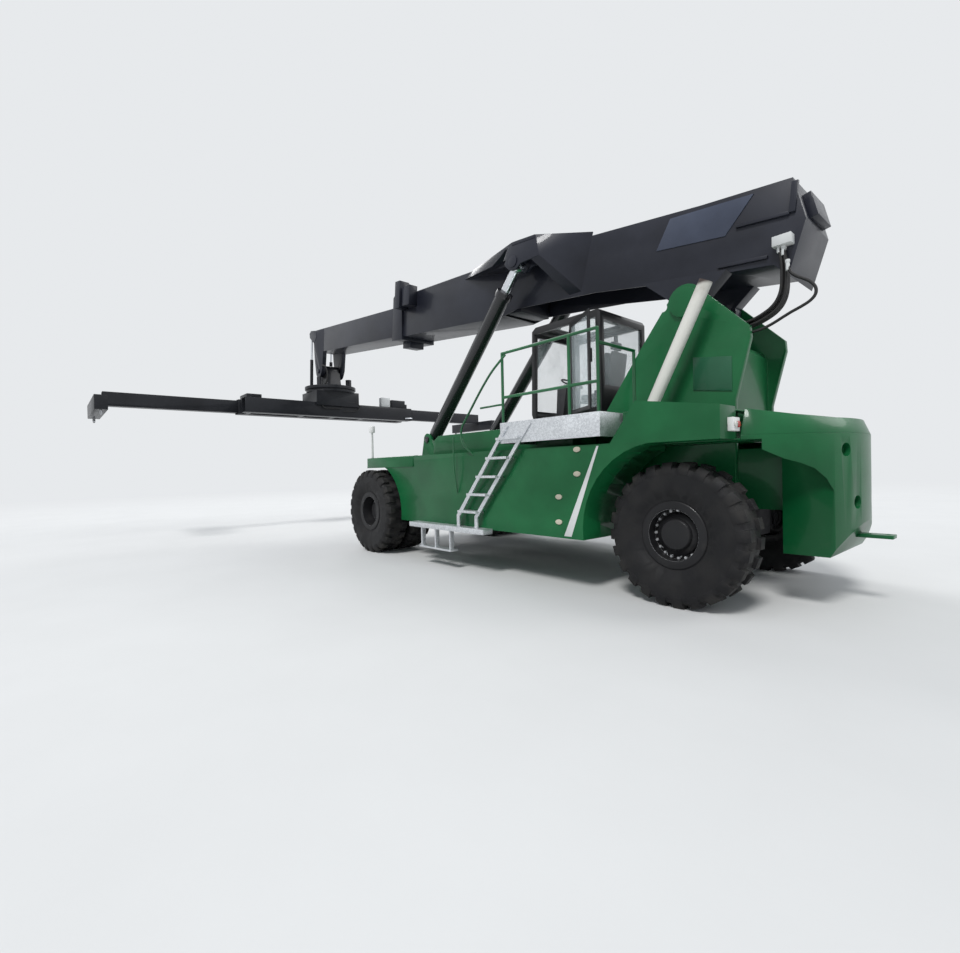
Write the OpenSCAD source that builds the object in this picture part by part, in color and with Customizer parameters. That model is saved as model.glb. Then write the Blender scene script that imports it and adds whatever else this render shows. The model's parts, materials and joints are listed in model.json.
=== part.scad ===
// Reach stacker with a telescopic boom and a 20 to 40 ft container spreader.
// Millimetres. X runs forward, Y to the left, Z up from the ground.
// Places in the modules are measured from the rear axle; machine() moves them to the origin,
// which lies on the ground under the middle of the whole machine.

/* [Wheels] */
// Distance between the front and the rear axle
wheelbase = 6260; // [5900:10:6700]
// Outer diameter of every tyre, over the lugs
tyre_d = 1660; // [1560:10:1720]
// Width of one tyre
tyre_w = 480; // [420:10:500]
// Diameter of the rim seat
rim_d = 635; // [600:5:680]
// Outer diameter of the rim flange
rim_flange_d = 780; // [740:5:820]
// Middle of the outer front tyre from the centre line
front_track_half = 1835; // [1810:5:1860]
// Distance between the two tyres of a front pair
dual_spacing = 560; // [540:5:600]
// Middle of the rear tyre from the centre line
rear_track_half = 1420; // [1400:5:1480]
// Kingpin from the centre line
kingpin_half = 1050; // [1030:5:1070]
// Depth of the tread grooves between the lugs
lug_depth = 38; // [20:1:50]
// Lugs around each shoulder of a tyre
lug_count = 24; // [20:1:28]
// Length of a lug across the tread
lug_w = 160; // [120:5:180]
// Share of the pitch that a lug takes
lug_share = 0.56; // [0.4:0.02:0.65]
// Wheel nuts on each rim
nut_count = 20; // [16:1:24]

/* [Chassis] */
// Outer face of the frame beams from the centre line
frame_half = 560; // [540:5:580]
// Width of a frame beam over its flanges
frame_beam_w = 160; // [120:5:200]
// Thickness of the beam webs and flanges
frame_plate = 40; // [25:1:50]
// Height of the underside of the frame over the axles
frame_over_axle = 1080; // [1070:5:1100]
// Height of the underside of the frame between the axles
frame_low = 720; // [660:10:800]
// Height of the top of the frame
frame_top = 1800; // [1760:5:1820]
// Thickness of the sheet that covers the body
sheet = 20; // [12:1:30]

/* [Body] */
// Outer face of the side bodies from the centre line
body_half = 1870; // [1850:5:1890]
// Height of the lower edge of the side bodies
body_low = 700; // [640:10:760]
// Height of the top of the side bodies
body_top = 1900; // [1880:5:1940]
// Radius of the arch round the rear wheels
rear_arch_r = 1060; // [1050:5:1080]
// Radius of the arch round the front wheels
front_arch_r = 950; // [920:5:980]
// Length of the front fender ahead of the front axle
fender_front = 340; // [250:10:420]
// Height of the inner hood
hood_top = 2290; // [2260:5:2320]
// Outer face of the inner hood from the centre line
hood_half = 1200; // [1150:5:1250]
// Highest point of the rear fenders
rear_fender_top = 2370; // [2330:5:2400]
// Rear end of the rear fenders behind the rear axle
rear_fender_end = 650; // [600:10:700]

/* [Counterweight] */
// Rear face of the counterweight behind the rear axle
tail_x = 1800; // [1720:10:1900]
// Side face of the counterweight from the centre line
cw_half = 1540; // [1480:10:1600]
// Lower edge of the counterweight
cw_low = 750; // [700:10:850]
// Front wall of the counterweight behind the rear axle
cw_front = 1120; // [1100:5:1160]
// Radius of the rear corners
cw_corner_r = 330; // [200:10:400]
// Diameter of the hole in the towing lug
tow_hole_d = 54; // [40:1:60]
// Thickness of the towing lug
tow_t = 40; // [30:1:50]
// Diameter of the holes in the lashing lugs
lash_hole_d = 60; // [50:1:70]
// Thickness of the lashing lugs
lash_t = 30; // [20:1:40]

/* [Boom] */
// Boom pivot ahead of the rear axle
pivot_x = 300; // [250:10:350]
// Boom pivot above the ground
pivot_z = 3730; // [3700:10:3780]
// Angle of the boom above level, as parked
boom_angle = 6.2; // [4:0.1:8]
// How far the inner boom is run out, as parked
boom_out = 4200; // [3800:50:4600]
// Width of the outer boom
outer_w = 860; // [840:5:880]
// Underside of the outer boom above the pivot, square to the boom
outer_low = 350; // [340:5:360]
// Top of the outer boom above the pivot, at its highest place
outer_top = 1385; // [1360:5:1410]
// Front end of the outer boom from the pivot, along its underside
outer_front = 7510; // [7400:10:7600]
// Rear end of the outer boom behind the pivot
outer_tail = 1240; // [1200:10:1280]
// Plate thickness of both booms
boom_plate = 16; // [12:1:20]
// Width of the inner boom
inner_w = 760; // [740:5:770]
// Underside of the inner boom above the pivot, square to the boom
inner_low = 395; // [385:5:405]
// Depth of the inner boom
inner_h = 700; // [680:5:720]
// Hang pin from the pivot along the boom, with the boom fully in
hang_reach_in = 7949; // [7900:1:8000]
// Hang pin below the pivot line, square to the boom
hang_drop = 193; // [150:1:240]
// Diameter of the boom pivot pins
pivot_pin_d = 200; // [160:5:220]

/* [Lift cylinders] */
// Lower pin ahead of the rear axle
lift_low_x = 5700; // [5600:10:5750]
// Lower pin above the ground
lift_low_z = 2270; // [2230:10:2300]
// Middle of each cylinder from the centre line
lift_half = 800; // [780:5:830]
// Upper pin from the boom pivot, along the boom
lift_up_a = 2940; // [2900:10:3000]
// Upper pin above the pivot line, square to the boom
lift_up_b = 1060; // [1040:10:1080]
// Outer diameter of the barrel
barrel_d = 270; // [240:5:290]
// Diameter of the rod
rod_d = 180; // [150:5:200]
// Diameter of the lower pin
lift_pin_d = 120; // [100:5:140]
// Wall of the barrel
barrel_t = 25; // [20:1:30]
// Length of the barrel from its pin to its gland
barrel_len = 3320; // [3300:5:3330]
// Length of the rod from its eye to the piston
rod_len = 3356; // [3350:1:3360]

/* [Cab] */
// Rear wall of the cab ahead of the rear axle
cab_rear = 1620; // [1600:5:1650]
// Length of the cab
cab_len = 1430; // [1400:10:1480]
// Side wall of the cab from the centre line
cab_half = 620; // [600:5:640]
// Floor of the cab above the ground
cab_floor = 2420; // [2400:5:2440]
// Roof of the cab above the ground
cab_roof = 4010; // [3980:5:4030]
// Thickness of the cab posts and panels
cab_wall = 50; // [40:1:60]
// Opening angle of the door, as parked
door_open = 150; // [140:1:155]
// Width of the door
door_w = 780; // [740:5:800]
// Thickness of the glass
glass_t = 8; // [6:1:12]

/* [Access] */
// Outer edge of the platforms from the centre line
platform_half = 1950; // [1930:5:1980]
// Top of the platforms
platform_top = 2290; // [2280:5:2310]
// Depth of the skirt round a platform
platform_skirt = 300; // [250:10:320]
// Height of the railing above the platform
rail_h = 1010; // [950:10:1050]
// Diameter of the railing tube
rail_d = 42; // [34:1:50]
// Rungs of each ladder
rungs = 5; // [4:1:6]

/* [Spreader] */
// Spacing of the twistlocks along the container, set to 40 ft
lock_span_40 = 11985; // [11900:1:12000]
// Spacing of the twistlocks across the container
lock_span_x = 2259; // [2200:1:2280]
// Slew ring below the hang pin
ring_drop = 600; // [560:10:640]
// Diameter of the slew ring
ring_d = 1560; // [1500:10:1600]
// Top of the main frame below the hang pin
spreader_drop = 1050; // [1020:5:1080]
// Half length of the main frame
spreader_half = 2740; // [2700:5:2760]
// Width of each box of the main frame
tube_w = 340; // [320:5:360]
// Height of each box of the main frame
tube_h = 420; // [400:5:440]
// Middle of each box from the middle of the spreader
tube_offset = 330; // [300:5:360]
// Wall of the boxes
tube_wall = 14; // [10:1:20]
// Clear space round a telescopic beam in its box
beam_clear = 20; // [15:1:25]
// Width of the end beams
end_w = 250; // [220:5:250]
// Length of the end beams across the container
end_len = 2438; // [2400:1:2480]
// Height of the end beams
end_h = 330; // [300:5:360]
// Underside of the end beams below the telescopic beams
end_drop = 250; // [200:5:280]
// Length of a twistlock below its beam
lock_len = 110; // [100:5:130]

/* [Hidden] */
$fn = 48;
snug = 0.3;
run = 0.5;
function rad_rot(a, b, t) = [a * cos(t) - b * sin(t), a * sin(t) + b * cos(t)];
hang_rel = rad_rot(hang_reach_in + boom_out, -hang_drop, boom_angle);
slew_x = pivot_x + hang_rel[0];
hang_z = pivot_z + hang_rel[1];
reach_x = slew_x + end_len / 2;
origin_x = (reach_x - tail_x) / 2;
tyre_r = tyre_d / 2;
axle_z = tyre_r;
dual_mid = front_track_half - dual_spacing / 2;
lift_rel = rad_rot(lift_up_a, lift_up_b, boom_angle);
lift_up_x = pivot_x + lift_rel[0];
lift_up_z = pivot_z + lift_rel[1];
lift_dx = lift_up_x - lift_low_x;
lift_dz = lift_up_z - lift_low_z;
lift_len = sqrt(lift_dx * lift_dx + lift_dz * lift_dz);
lift_angle = atan2(lift_dz, lift_dx);
ring_z = hang_z - ring_drop;
frame_z = hang_z - spreader_drop;
lock_y = lock_span_40 / 2;

green = "#0f6b34";
dark = "#23262e";
steel = "#b9bec2";

// Moves what is measured from the rear axle to the origin of the machine
module machine() {
  translate([-origin_x, 0, 0]) children();
}

// Draws the children on the left and again on the right
module both_sides() {
  children();
  mirror([0, 1, 0]) children();
}

// Plate with an outline in X and Z, between two places across the machine
module slab(points, y0, y1) {
  translate([0, y1, 0]) rotate([90, 0, 0]) linear_extrude(y1 - y0) polygon(points);
}

// Round bar along Y
module bar_y(x, z, y0, y1, r) {
  translate([x, y0, z]) rotate([-90, 0, 0]) cylinder(h = y1 - y0, r = r);
}

// Block between two corners
module block(low, high) {
  translate(low) cube(high - low);
}

// Round bar from one point to another
module rod_between(a, b, r) {
  d = b - a;
  l = norm(d);
  translate(a) rotate([0, acos(d[2] / l), atan2(d[1], d[0])]) cylinder(h = l, r = r);
}

// Round tube through a row of points, with a ball at every bend
module bent_tube(points, r) {
  for (i = [0 : len(points) - 2]) rod_between(points[i], points[i + 1], r);
  for (i = [1 : len(points) - 2]) translate(points[i]) sphere(r = r);
}

// Places the children in the boom's own frame: X along the boom, Z square to it, from the pivot
module boom_frame() {
  machine() translate([pivot_x, 0, pivot_z]) rotate([0, -boom_angle, 0]) children();
}

// Outline moved inwards by t, for an outline that runs anticlockwise
function inset(p, t) = [
  for (i = [0 : len(p) - 1])
    let (a = p[(i + len(p) - 1) % len(p)], b = p[i], c = p[(i + 1) % len(p)],
         u = (b - a) / norm(b - a), v = (c - b) / norm(c - b),
         nu = [-u[1], u[0]], nv = [-v[1], v[0]])
      b + t * (nu + nv) / (1 + nu * nv)
];

// Points of an arc in a plane, from angle a0 to angle a1
function arc(cx, cy, r, a0, a1, n = 8) = [
  for (i = [0 : n]) let (a = a0 + (a1 - a0) * i / n) [cx + r * cos(a), cy + r * sin(a)]
];

// Turned piece whose axis lies along Y; each point is a radius and a place along Y
module turned_y(x, z, points) {
  translate([x, 0, z]) rotate([-90, 0, 0]) rotate_extrude() polygon(points);
}

// Chassis

frame_front = wheelbase + 430;
frame_outline = [
  [-cw_front, frame_over_axle], [900, frame_over_axle], [1250, frame_low],
  [wheelbase - 1150, frame_low], [wheelbase - 750, frame_over_axle],
  [frame_front, frame_over_axle], [frame_front, frame_top - 200],
  [frame_front - 130, frame_top], [-cw_front, frame_top]
];
lug_t = 60;
lash_x = frame_front + 80;
lash_y = frame_half - frame_beam_w / 2;
lash_z = 1330;
axle_r = 210;
body_in = 1000;
outrigger_x = [1760, 3000, 4900];
lift_lug_r = 125;
barrel_eye_w = 200;
barrel_floor = 150;

// Pair of box beams with cross members and the lugs of the lift cylinders
module chassis_frame() {
  color(green) machine() {
    both_sides() {
      difference() {
        slab(frame_outline, frame_half - frame_beam_w, frame_half);
        slab(inset(frame_outline, frame_plate), frame_half - frame_beam_w - 1, frame_half - frame_plate);
      }
      for (side = [-1, 1])
        lift_lug(lift_half + side * (barrel_eye_w / 2 + run + lug_t / 2) - lug_t / 2);
      block([lift_low_x - 420, frame_half - 1, frame_top - 120],
            [lift_low_x + 260, lift_half + barrel_eye_w / 2 + run + lug_t, frame_top]);
      for (x = outrigger_x)
        block([x - frame_plate / 2, frame_half - 1, body_low], [x + frame_plate / 2, body_in, body_top]);
      difference() {
        block([wheelbase - 200, frame_half - frame_beam_w, axle_z + axle_r - 90],
              [wheelbase + 200, frame_half, frame_over_axle + 1]);
        bar_y(wheelbase, axle_z, 0, frame_half + 1, axle_r + snug);
      }
      difference() {
        union() {
          block([frame_front - 1, lash_y - lash_hole_d, lash_z], [lash_x, lash_y + lash_hole_d, lash_z + lash_t]);
          translate([lash_x, lash_y, lash_z]) cylinder(h = lash_t, r = lash_hole_d);
        }
        translate([lash_x, lash_y, lash_z - 1]) cylinder(h = lash_t + 2, r = lash_hole_d / 2);
      }
    }
    for (x = [-cw_front + 200, 1300, 3000, wheelbase - 900, wheelbase + 390])
      block([x - frame_plate / 2, -(frame_half - frame_plate), frame_over_axle],
            [x + frame_plate / 2, frame_half - frame_plate, frame_top - frame_plate]);
  }
}

// Lug with the bore of a lift cylinder's lower pin
module lift_lug(y) {
  difference() {
    slab([[lift_low_x - 420, frame_top - 60], [lift_low_x + 260, frame_top - 60],
          [lift_low_x + lift_lug_r, lift_low_z], [lift_low_x - lift_lug_r, lift_low_z]], y, y + lug_t);
    bar_y(lift_low_x, lift_low_z, y - 1, y + lug_t + 1, lift_pin_d / 2);
  }
  difference() {
    bar_y(lift_low_x, lift_low_z, y, y + lug_t, lift_lug_r);
    bar_y(lift_low_x, lift_low_z, y - 1, y + lug_t + 1, lift_pin_d / 2);
  }
}

tower_t = 80;
tower_outline = concat(
  [[-300, 1300], [1700, 1300], [1700, 2230], [1570, 2385], [950, 3250]],
  arc(pivot_x, pivot_z, 240, 15, 150, 8),
  [[-480, 3260], [-490, 3120], [-310, 2400]]);

// Two plates that carry the boom, with the box between them and the flanged pivot pins
module tower() {
  color(green) machine() {
    both_sides() {
      difference() {
        slab(tower_outline, frame_half, frame_half + tower_t);
        bar_y(600, 3740, frame_half - 1, frame_half + tower_t + 1, 55);
      }
      bar_y(pivot_x, pivot_z, frame_half + tower_t - 1, frame_half + tower_t + 45, 190);
      bar_y(pivot_x, pivot_z, 300, frame_half + 1, pivot_pin_d / 2);
    }
    slab([[-260, 1900], [120, 1900], [150, 3150], [-180, 3150], [-260, 3050]], -frame_half, frame_half);
    block([1150, -frame_half, frame_top], [1200, frame_half, 2250]);
  }
}

// Drive axle with its round middle and the bearing stubs for the wheels
module front_axle() {
  color(dark) machine() {
    bar_y(wheelbase, axle_z, -980, 980, axle_r);
    translate([wheelbase, 0, axle_z]) sphere(r = 300);
    both_sides() bar_y(wheelbase, axle_z, 979, dual_mid + 120, stub_r);
  }
}
stub_r = 140;

// Steer axle: a box beam hung under the frame, with an eye for each kingpin
module rear_axle() {
  color(dark) machine() {
    block([-200, -760, axle_z - 190], [200, 760, axle_z + 190]);
    block([-160, -frame_half, axle_z + 189], [160, frame_half, frame_over_axle]);
    both_sides() difference() {
      union() {
        block([-120, 750, axle_z - 110], [120, kingpin_half, axle_z + 110]);
        translate([0, kingpin_half, axle_z - 110]) cylinder(h = 220, r = 120);
      }
      translate([0, kingpin_half, axle_z - 111]) cylinder(h = 222, r = kingpin_r + run);
    }
  }
}
kingpin_r = 50;
hub_y = rear_track_half + 40;

// Knuckle: fork round the axle eye with its kingpin, and the stub that carries the wheel
module knuckle() {
  color(dark) machine() {
    for (s = [-1, 1])
      translate([0, kingpin_half, axle_z + s * (110 + run + 30) - 30]) cylinder(h = 60, r = 120);
    translate([0, kingpin_half, axle_z - 170]) cylinder(h = 340, r = kingpin_r);
    block([-110, kingpin_half + 130, axle_z - 170], [110, kingpin_half + 180, axle_z + 170]);
    for (s = [-1, 1])
      block([-110, kingpin_half, axle_z + s * (110 + run + 30) - 30],
            [110, kingpin_half + 131, axle_z + s * (110 + run + 30) + 30]);
    bar_y(0, axle_z, kingpin_half + 179, hub_y, stub_r);
  }
}
module knuckle_left() { knuckle(); }
module knuckle_right() { mirror([0, 1, 0]) knuckle(); }

// Wheels

bead_w = tyre_w - 120;
rim_r = rim_d / 2;
flange_r = rim_flange_d / 2;

// Section of a tyre from bead to bead, as radius and place across, with the tread bottom under the lugs
tread_r = tyre_r - lug_depth;
side_bulge = 25;
function tyre_section(y) = let (h = tyre_w / 2, b = bead_w / 2) [
  [rim_r + snug, y - b], [flange_r + snug, y - b], [flange_r + 60, y - h + side_bulge], [tyre_r * 0.68, y - h],
  [tyre_r * 0.86, y - h + 8], [tread_r - 30, y - h + 22], [tread_r, y - h + 70],
  [tread_r, y + h - 70], [tread_r - 30, y + h - 22], [tyre_r * 0.86, y + h - 8],
  [tyre_r * 0.68, y + h], [flange_r + 60, y + h - side_bulge], [flange_r + snug, y + b], [rim_r + snug, y + b]
];
lug_len = 2 * PI * tyre_r / lug_count * lug_share;
lug_tip = sqrt(tyre_r * tyre_r - lug_len * lug_len / 4);

// One tyre whose middle is at y, with a row of lugs on each shoulder, the rows half a pitch apart
module tyre(x, y) {
  h = tyre_w / 2;
  color(dark) machine() translate([x, y, axle_z]) {
    turned_y(0, 0, tyre_section(0));
    for (side = [-1, 1]) for (i = [0 : lug_count - 1])
      rotate([0, (i + side / 4) * 360 / lug_count, 0])
        translate([-lug_len / 2, 0, 0]) rotate([90, 0, 90]) linear_extrude(lug_len)
          polygon([[side * (h - 4), tyre_r * 0.84], [side * (h - 12), tread_r - 20], [side * (h - 50), lug_tip],
            [side * (h - lug_w), lug_tip], [side * (h - lug_w), tyre_r * 0.84]]);
  }
}
module tyres_front_left() {
  for (s = [-1, 1]) tyre(wheelbase, dual_mid + s * dual_spacing / 2);
}
module tyres_front_right() { mirror([0, 1, 0]) tyres_front_left(); }
module tyre_rear_left() { tyre(0, rear_track_half); }
module tyre_rear_right() { mirror([0, 1, 0]) tyre_rear_left(); }

// Section of the rim well between its two flanges
module rim_well(x, y) {
  turned_y(x, axle_z, [
    [rim_r - 22, y - bead_w / 2 - 18], [flange_r - 12, y - bead_w / 2 - 18], [flange_r, y - bead_w / 2 - 10],
    [flange_r, y - bead_w / 2], [rim_r, y - bead_w / 2], [rim_r, y + bead_w / 2],
    [flange_r, y + bead_w / 2], [flange_r, y + bead_w / 2 + 10], [flange_r - 12, y + bead_w / 2 + 18],
    [rim_r - 22, y + bead_w / 2 + 18]]);
}

nut_ring_r = 275;
nut_r = 17;
nut_h = 29;

// Wheel centre: disc with a bearing bore from behind, a drum hub and a ring of nuts in front
module wheel_centre(x, y_in, y_disc, y_cap) {
  difference() {
    turned_y(x, axle_z, [
      [0, y_in], [stub_r + 45, y_in], [stub_r + 45, y_disc - 30], [rim_r - 21, y_disc - 30], [rim_r - 21, y_disc],
      [250, y_disc], [240, y_disc + 40], [190, y_disc + 60], [180, y_cap - 15], [165, y_cap], [0, y_cap]]);
    bar_y(x, axle_z, y_in - 1, y_cap - 60, stub_r + run);
  }
  for (i = [0 : nut_count - 1])
    translate([x + nut_ring_r * cos(i * 360 / nut_count), y_disc - 1, axle_z + nut_ring_r * sin(i * 360 / nut_count)])
      rotate([-90, 0, 0]) cylinder(h = nut_h, r = nut_r, $fn = 6);
}
module rims_front_left() {
  color(dark) machine() {
    for (s = [-1, 1]) rim_well(wheelbase, dual_mid + s * dual_spacing / 2);
    turned_y(wheelbase, axle_z, [
      [rim_r - 22, dual_mid - 120], [rim_r - 2, dual_mid - 120], [rim_r - 2, dual_mid + 120],
      [rim_r - 22, dual_mid + 120]]);
    wheel_centre(wheelbase, 1000, dual_mid + 220, dual_mid + 340);
  }
}
module rims_front_right() { mirror([0, 1, 0]) rims_front_left(); }
module rim_rear_left() {
  color(dark) machine() {
    rim_well(0, rear_track_half);
    wheel_centre(0, kingpin_half + 200, rear_track_half + 50, rear_track_half + 150);
  }
}
module rim_rear_right() { mirror([0, 1, 0]) rim_rear_left(); }

// Body

side_split = 1500;
arch_low = asin((body_low - axle_z) / rear_arch_r);
arch_top = asin((body_top - sheet - axle_z) / rear_arch_r);
rear_arch = arc(0, axle_z, rear_arch_r, arch_top, arch_low, 10);
rear_fender = [[640, body_top], [300, rear_fender_top], [-rear_fender_end, rear_fender_top - 145],
  [-rear_fender_end, body_top - sheet]];
front_arch = arc(wheelbase, axle_z, front_arch_r, 188, 92, 10);
nose = [[wheelbase + fender_front, axle_z + front_arch_r - 2], [wheelbase + fender_front, body_top]];
outer_outline = concat(front_arch, nose, rear_fender, rear_arch);
inner_outline = concat(front_arch, nose, [[400, body_top]], arc(0, axle_z, rear_arch_r, arch_top - 15, arch_low, 8));

// Side body with tank, front fender and rear fender: sheet round a hollow that is open to the frame
module side_body_left() {
  color(green) machine() {
    difference() {
      slab(outer_outline, side_split, body_half);
      slab(inset(outer_outline, sheet), side_split - 1, body_half - sheet);
    }
    difference() {
      slab(inner_outline, body_in, side_split + 1);
      slab(inset(inner_outline, sheet), body_in - 1, side_split + 2);
    }
  }
}
module side_body_right() { mirror([0, 1, 0]) side_body_left(); }

cw_outline = [
  [-1480, cw_low], [-cw_front, cw_low], [-cw_front, body_top - 20], [-rear_fender_end, body_top - 20],
  [-rear_fender_end, 2200], [-1250, 2100], [-tail_x + 60, 1985], [-tail_x, 1880],
  [-tail_x, 1060], [-tail_x + 60, 980]];

tow_x = -tail_x + 160;

// Cast counterweight with round rear corners, an arch round each rear wheel and a towing lug below
module counterweight() {
  color(green) machine() {
    difference() {
      block([tow_x - 60, -90, cw_low + 20], [tow_x + 140, 90, cw_low + 20 + tow_t]);
      translate([tow_x, 0, cw_low]) cylinder(h = tow_t + 40, r = tow_hole_d / 2);
    }
    cast_body();
  }
}

module cast_body() {
  difference() {
    intersection() {
      slab(cw_outline, -cw_half, cw_half);
      translate([0, 0, 600]) linear_extrude(1800) union() {
        translate([-tail_x, -cw_half + cw_corner_r]) square([tail_x, 2 * (cw_half - cw_corner_r)]);
        translate([-tail_x + cw_corner_r, -cw_half]) square([tail_x, 2 * cw_half]);
        for (s = [-1, 1]) translate([-tail_x + cw_corner_r, s * (cw_half - cw_corner_r)]) circle(r = cw_corner_r);
      }
    }
    both_sides() {
      bar_y(-590, 892, 1150, cw_half + 1, 960);
      block([-1150, 1150, cw_low - 1], [0, cw_half + 1, body_top - 21]);
    }
  }
}

deck_top = 2300;
deck_outline = [[-rear_fender_end, body_top], [700, body_top], [700, deck_top], [450, deck_top], [300, 2360],
  [-rear_fender_end, 2200]];
hood_front = 5150;

// Deck over the rear axle and hood between the side bodies
module hood() {
  color(green) machine() {
    difference() {
      slab(deck_outline, -side_split + snug, side_split - snug);
      translate([0, 0, -sheet]) slab(deck_outline, -side_split + sheet, side_split - sheet);
      block([-310, -frame_half - tower_t - snug, body_top - 50], [1000, frame_half + tower_t + snug, 2600]);
    }
    difference() {
      slab([[1720, body_top], [hood_front, body_top], [hood_front, 2200], [hood_front - 150, hood_top],
        [1720, hood_top]], -hood_half, hood_half);
      slab([[1720 + sheet, body_top - 1], [hood_front - sheet, body_top - 1], [hood_front - sheet, 2190],
        [hood_front - 155, hood_top - sheet], [1720 + sheet, hood_top - sheet]],
        -hood_half + sheet, hood_half - sheet);
    }
  }
}

// Engine as one block between two cross members
module engine() {
  color(steel) machine() block([1300 + frame_plate / 2, -370, 950], [3000 - frame_plate / 2, 370, 1750]);
}

// Exhaust pipe that leans back beside the tower
module exhaust() {
  color("#cfd2cc") machine() difference() {
    union() {
      rod_between([660, 950, 2310], [-120, 950, 3820], 80);
      block([560, 850, deck_top + snug], [690, 1050, deck_top + 50]);
    }
    rod_between([582, 950, 2461], [-135, 950, 3849], 68);
    block([400, 700, 2000], [900, 1200, deck_top + snug]);
  }
}

// Access

plat_rear = 720;
plat_front = 2450;

// Platforms, slanting ladders and low steps, all zinc plated
module access_steps() {
  color(steel) machine() both_sides() {
    difference() {
      block([plat_rear, frame_half + tower_t + 60, platform_top - platform_skirt],
            [plat_front, platform_half, platform_top]);
      block([plat_rear + 12, frame_half + tower_t + 59, platform_top - platform_skirt - 1],
            [plat_front - 12, platform_half - 12, platform_top - 12]);
      block([1720 - snug, 0, platform_top - platform_skirt - 1], [plat_front + 1, hood_half + snug, platform_top + 1]);
    }
    ladder();
    block([2750, body_half, 640], [4750, 2060, 720]);
    block([3560, 1900, 300], [4440, 2060, 330]);
    for (x = [3600, 4000, 4400]) block([x - 15, 1960, 329], [x + 15, 2040, 641]);
  }
}

ladder_top = [2300, 2240];
ladder_foot = [3450, 880];
ladder_w = 440;
ladder_y = platform_half;

// Two slanting rails with treads between them
module ladder() {
  d = ladder_foot - ladder_top;
  for (x = [-ladder_w, 0])
    slab([[ladder_top[0] + x - 35, ladder_top[1]], [ladder_foot[0] + x - 35, ladder_foot[1]],
      [ladder_foot[0] + x - 35, 719], [ladder_foot[0] + x + 35, 719],
      [ladder_foot[0] + x + 35, ladder_foot[1] + 20], [ladder_top[0] + x + 35, ladder_top[1]]],
      ladder_y, ladder_y + 25);
  for (i = [1 : rungs]) {
    p = ladder_top + d * (i - 0.35) / rungs;
    block([p[0] - ladder_w, body_half + 15, p[1] - 25], [p[0], ladder_y + 100, p[1] + 10]);
  }
}

// Railings round the platforms
module railings() {
  r = rail_d / 2;
  z0 = platform_top;
  z1 = platform_top + rail_h;
  y = platform_half - 40;
  color(green) machine() both_sides() {
    bent_tube([[plat_front - 30, y, z0], [plat_front - 30, y, z1], [plat_rear + 40, y, z1], [plat_rear + 40, y, z0]], r);
    rod_between([1200, y, z0], [1200, y, z1], r);
    rod_between([plat_front - 30, y, z0 + 370], [plat_rear + 40, y, z0 + 370], r);
    bent_tube([[plat_rear + 40, y, z1 - 170], [plat_rear + 40, 1120, z1 - 170], [plat_rear + 40, 1120, z0]], r);
  }
}

lamp_x = wheelbase + fender_front - 100;
lamp_y = body_half - 70;
lamp_z = body_top + 550;

// Lamps on the fenders
module lamps() {
  color("#d8d8d0") machine() both_sides() {
    rod_between([lamp_x, lamp_y, body_top], [lamp_x, lamp_y, lamp_z], 22);
    translate([lamp_x, lamp_y, lamp_z - 10]) cylinder(h = 130, r = 60);
    block([-rear_fender_end - 60, side_split + 40, 1960], [-rear_fender_end, side_split + 200, 2100]);
  }
}

// Cab

cab_front = cab_rear + cab_len;
door_hinge_x = cab_front - 90 - door_w;
door_hinge_y = cab_half + 30;
door_low = cab_floor + 20;
door_top = cab_roof - 110;

// Outline of the cab from the side
function cab_outline() = [
  [cab_rear, cab_floor - 30], [cab_front - 60, cab_floor - 30], [cab_front, cab_floor + 120],
  [cab_front - 40, cab_roof - 60], [cab_front - 120, cab_roof], [cab_rear + 40, cab_roof],
  [cab_rear, cab_roof - 60]];

// Hollow cab with its windows cut, on a base that stands on the hood
module cab_shell() {
  w = cab_wall;
  color(dark) machine() {
    difference() {
      slab(cab_outline(), -cab_half, cab_half);
      slab(inset(cab_outline(), w), -cab_half + w, cab_half - w);
      block([cab_front - 200, -cab_half + 90, cab_floor + 180], [cab_front + 1, cab_half - 90, cab_roof - 150]);
      block([cab_rear - 1, -cab_half + 90, cab_floor + 450], [cab_rear + w + 1, cab_half - 90, cab_roof - 150]);
      block([cab_rear + 90, cab_half - w - 1, cab_floor + 120],
            [door_hinge_x - 50, cab_half + 1, door_top]);
      block([door_hinge_x, cab_half - w - 1, door_low], [door_hinge_x + door_w, cab_half + 1, door_top]);
      block([cab_rear + 90, -cab_half - 1, cab_floor + 120],
            [door_hinge_x - 50, -cab_half + w + 1, door_top]);
      block([door_hinge_x, -cab_half - 1, cab_floor + 120],
            [door_hinge_x + door_w, -cab_half + w + 1, door_top]);
      block([cab_rear + 300, -400, cab_roof - w - 1], [cab_front - 300, 400, cab_roof + 1]);
    }
    block([cab_rear + 80, -cab_half + 60, hood_top], [cab_front - 120, cab_half - 60, cab_floor - 29]);
    for (z = [door_low + 200, door_top - 200]) {
      translate([door_hinge_x, door_hinge_y, z]) cylinder(h = 40, r = 14);
      block([door_hinge_x - 14, cab_half - 5, z], [door_hinge_x + 14, door_hinge_y, z + 40]);
    }
  }
}

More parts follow.
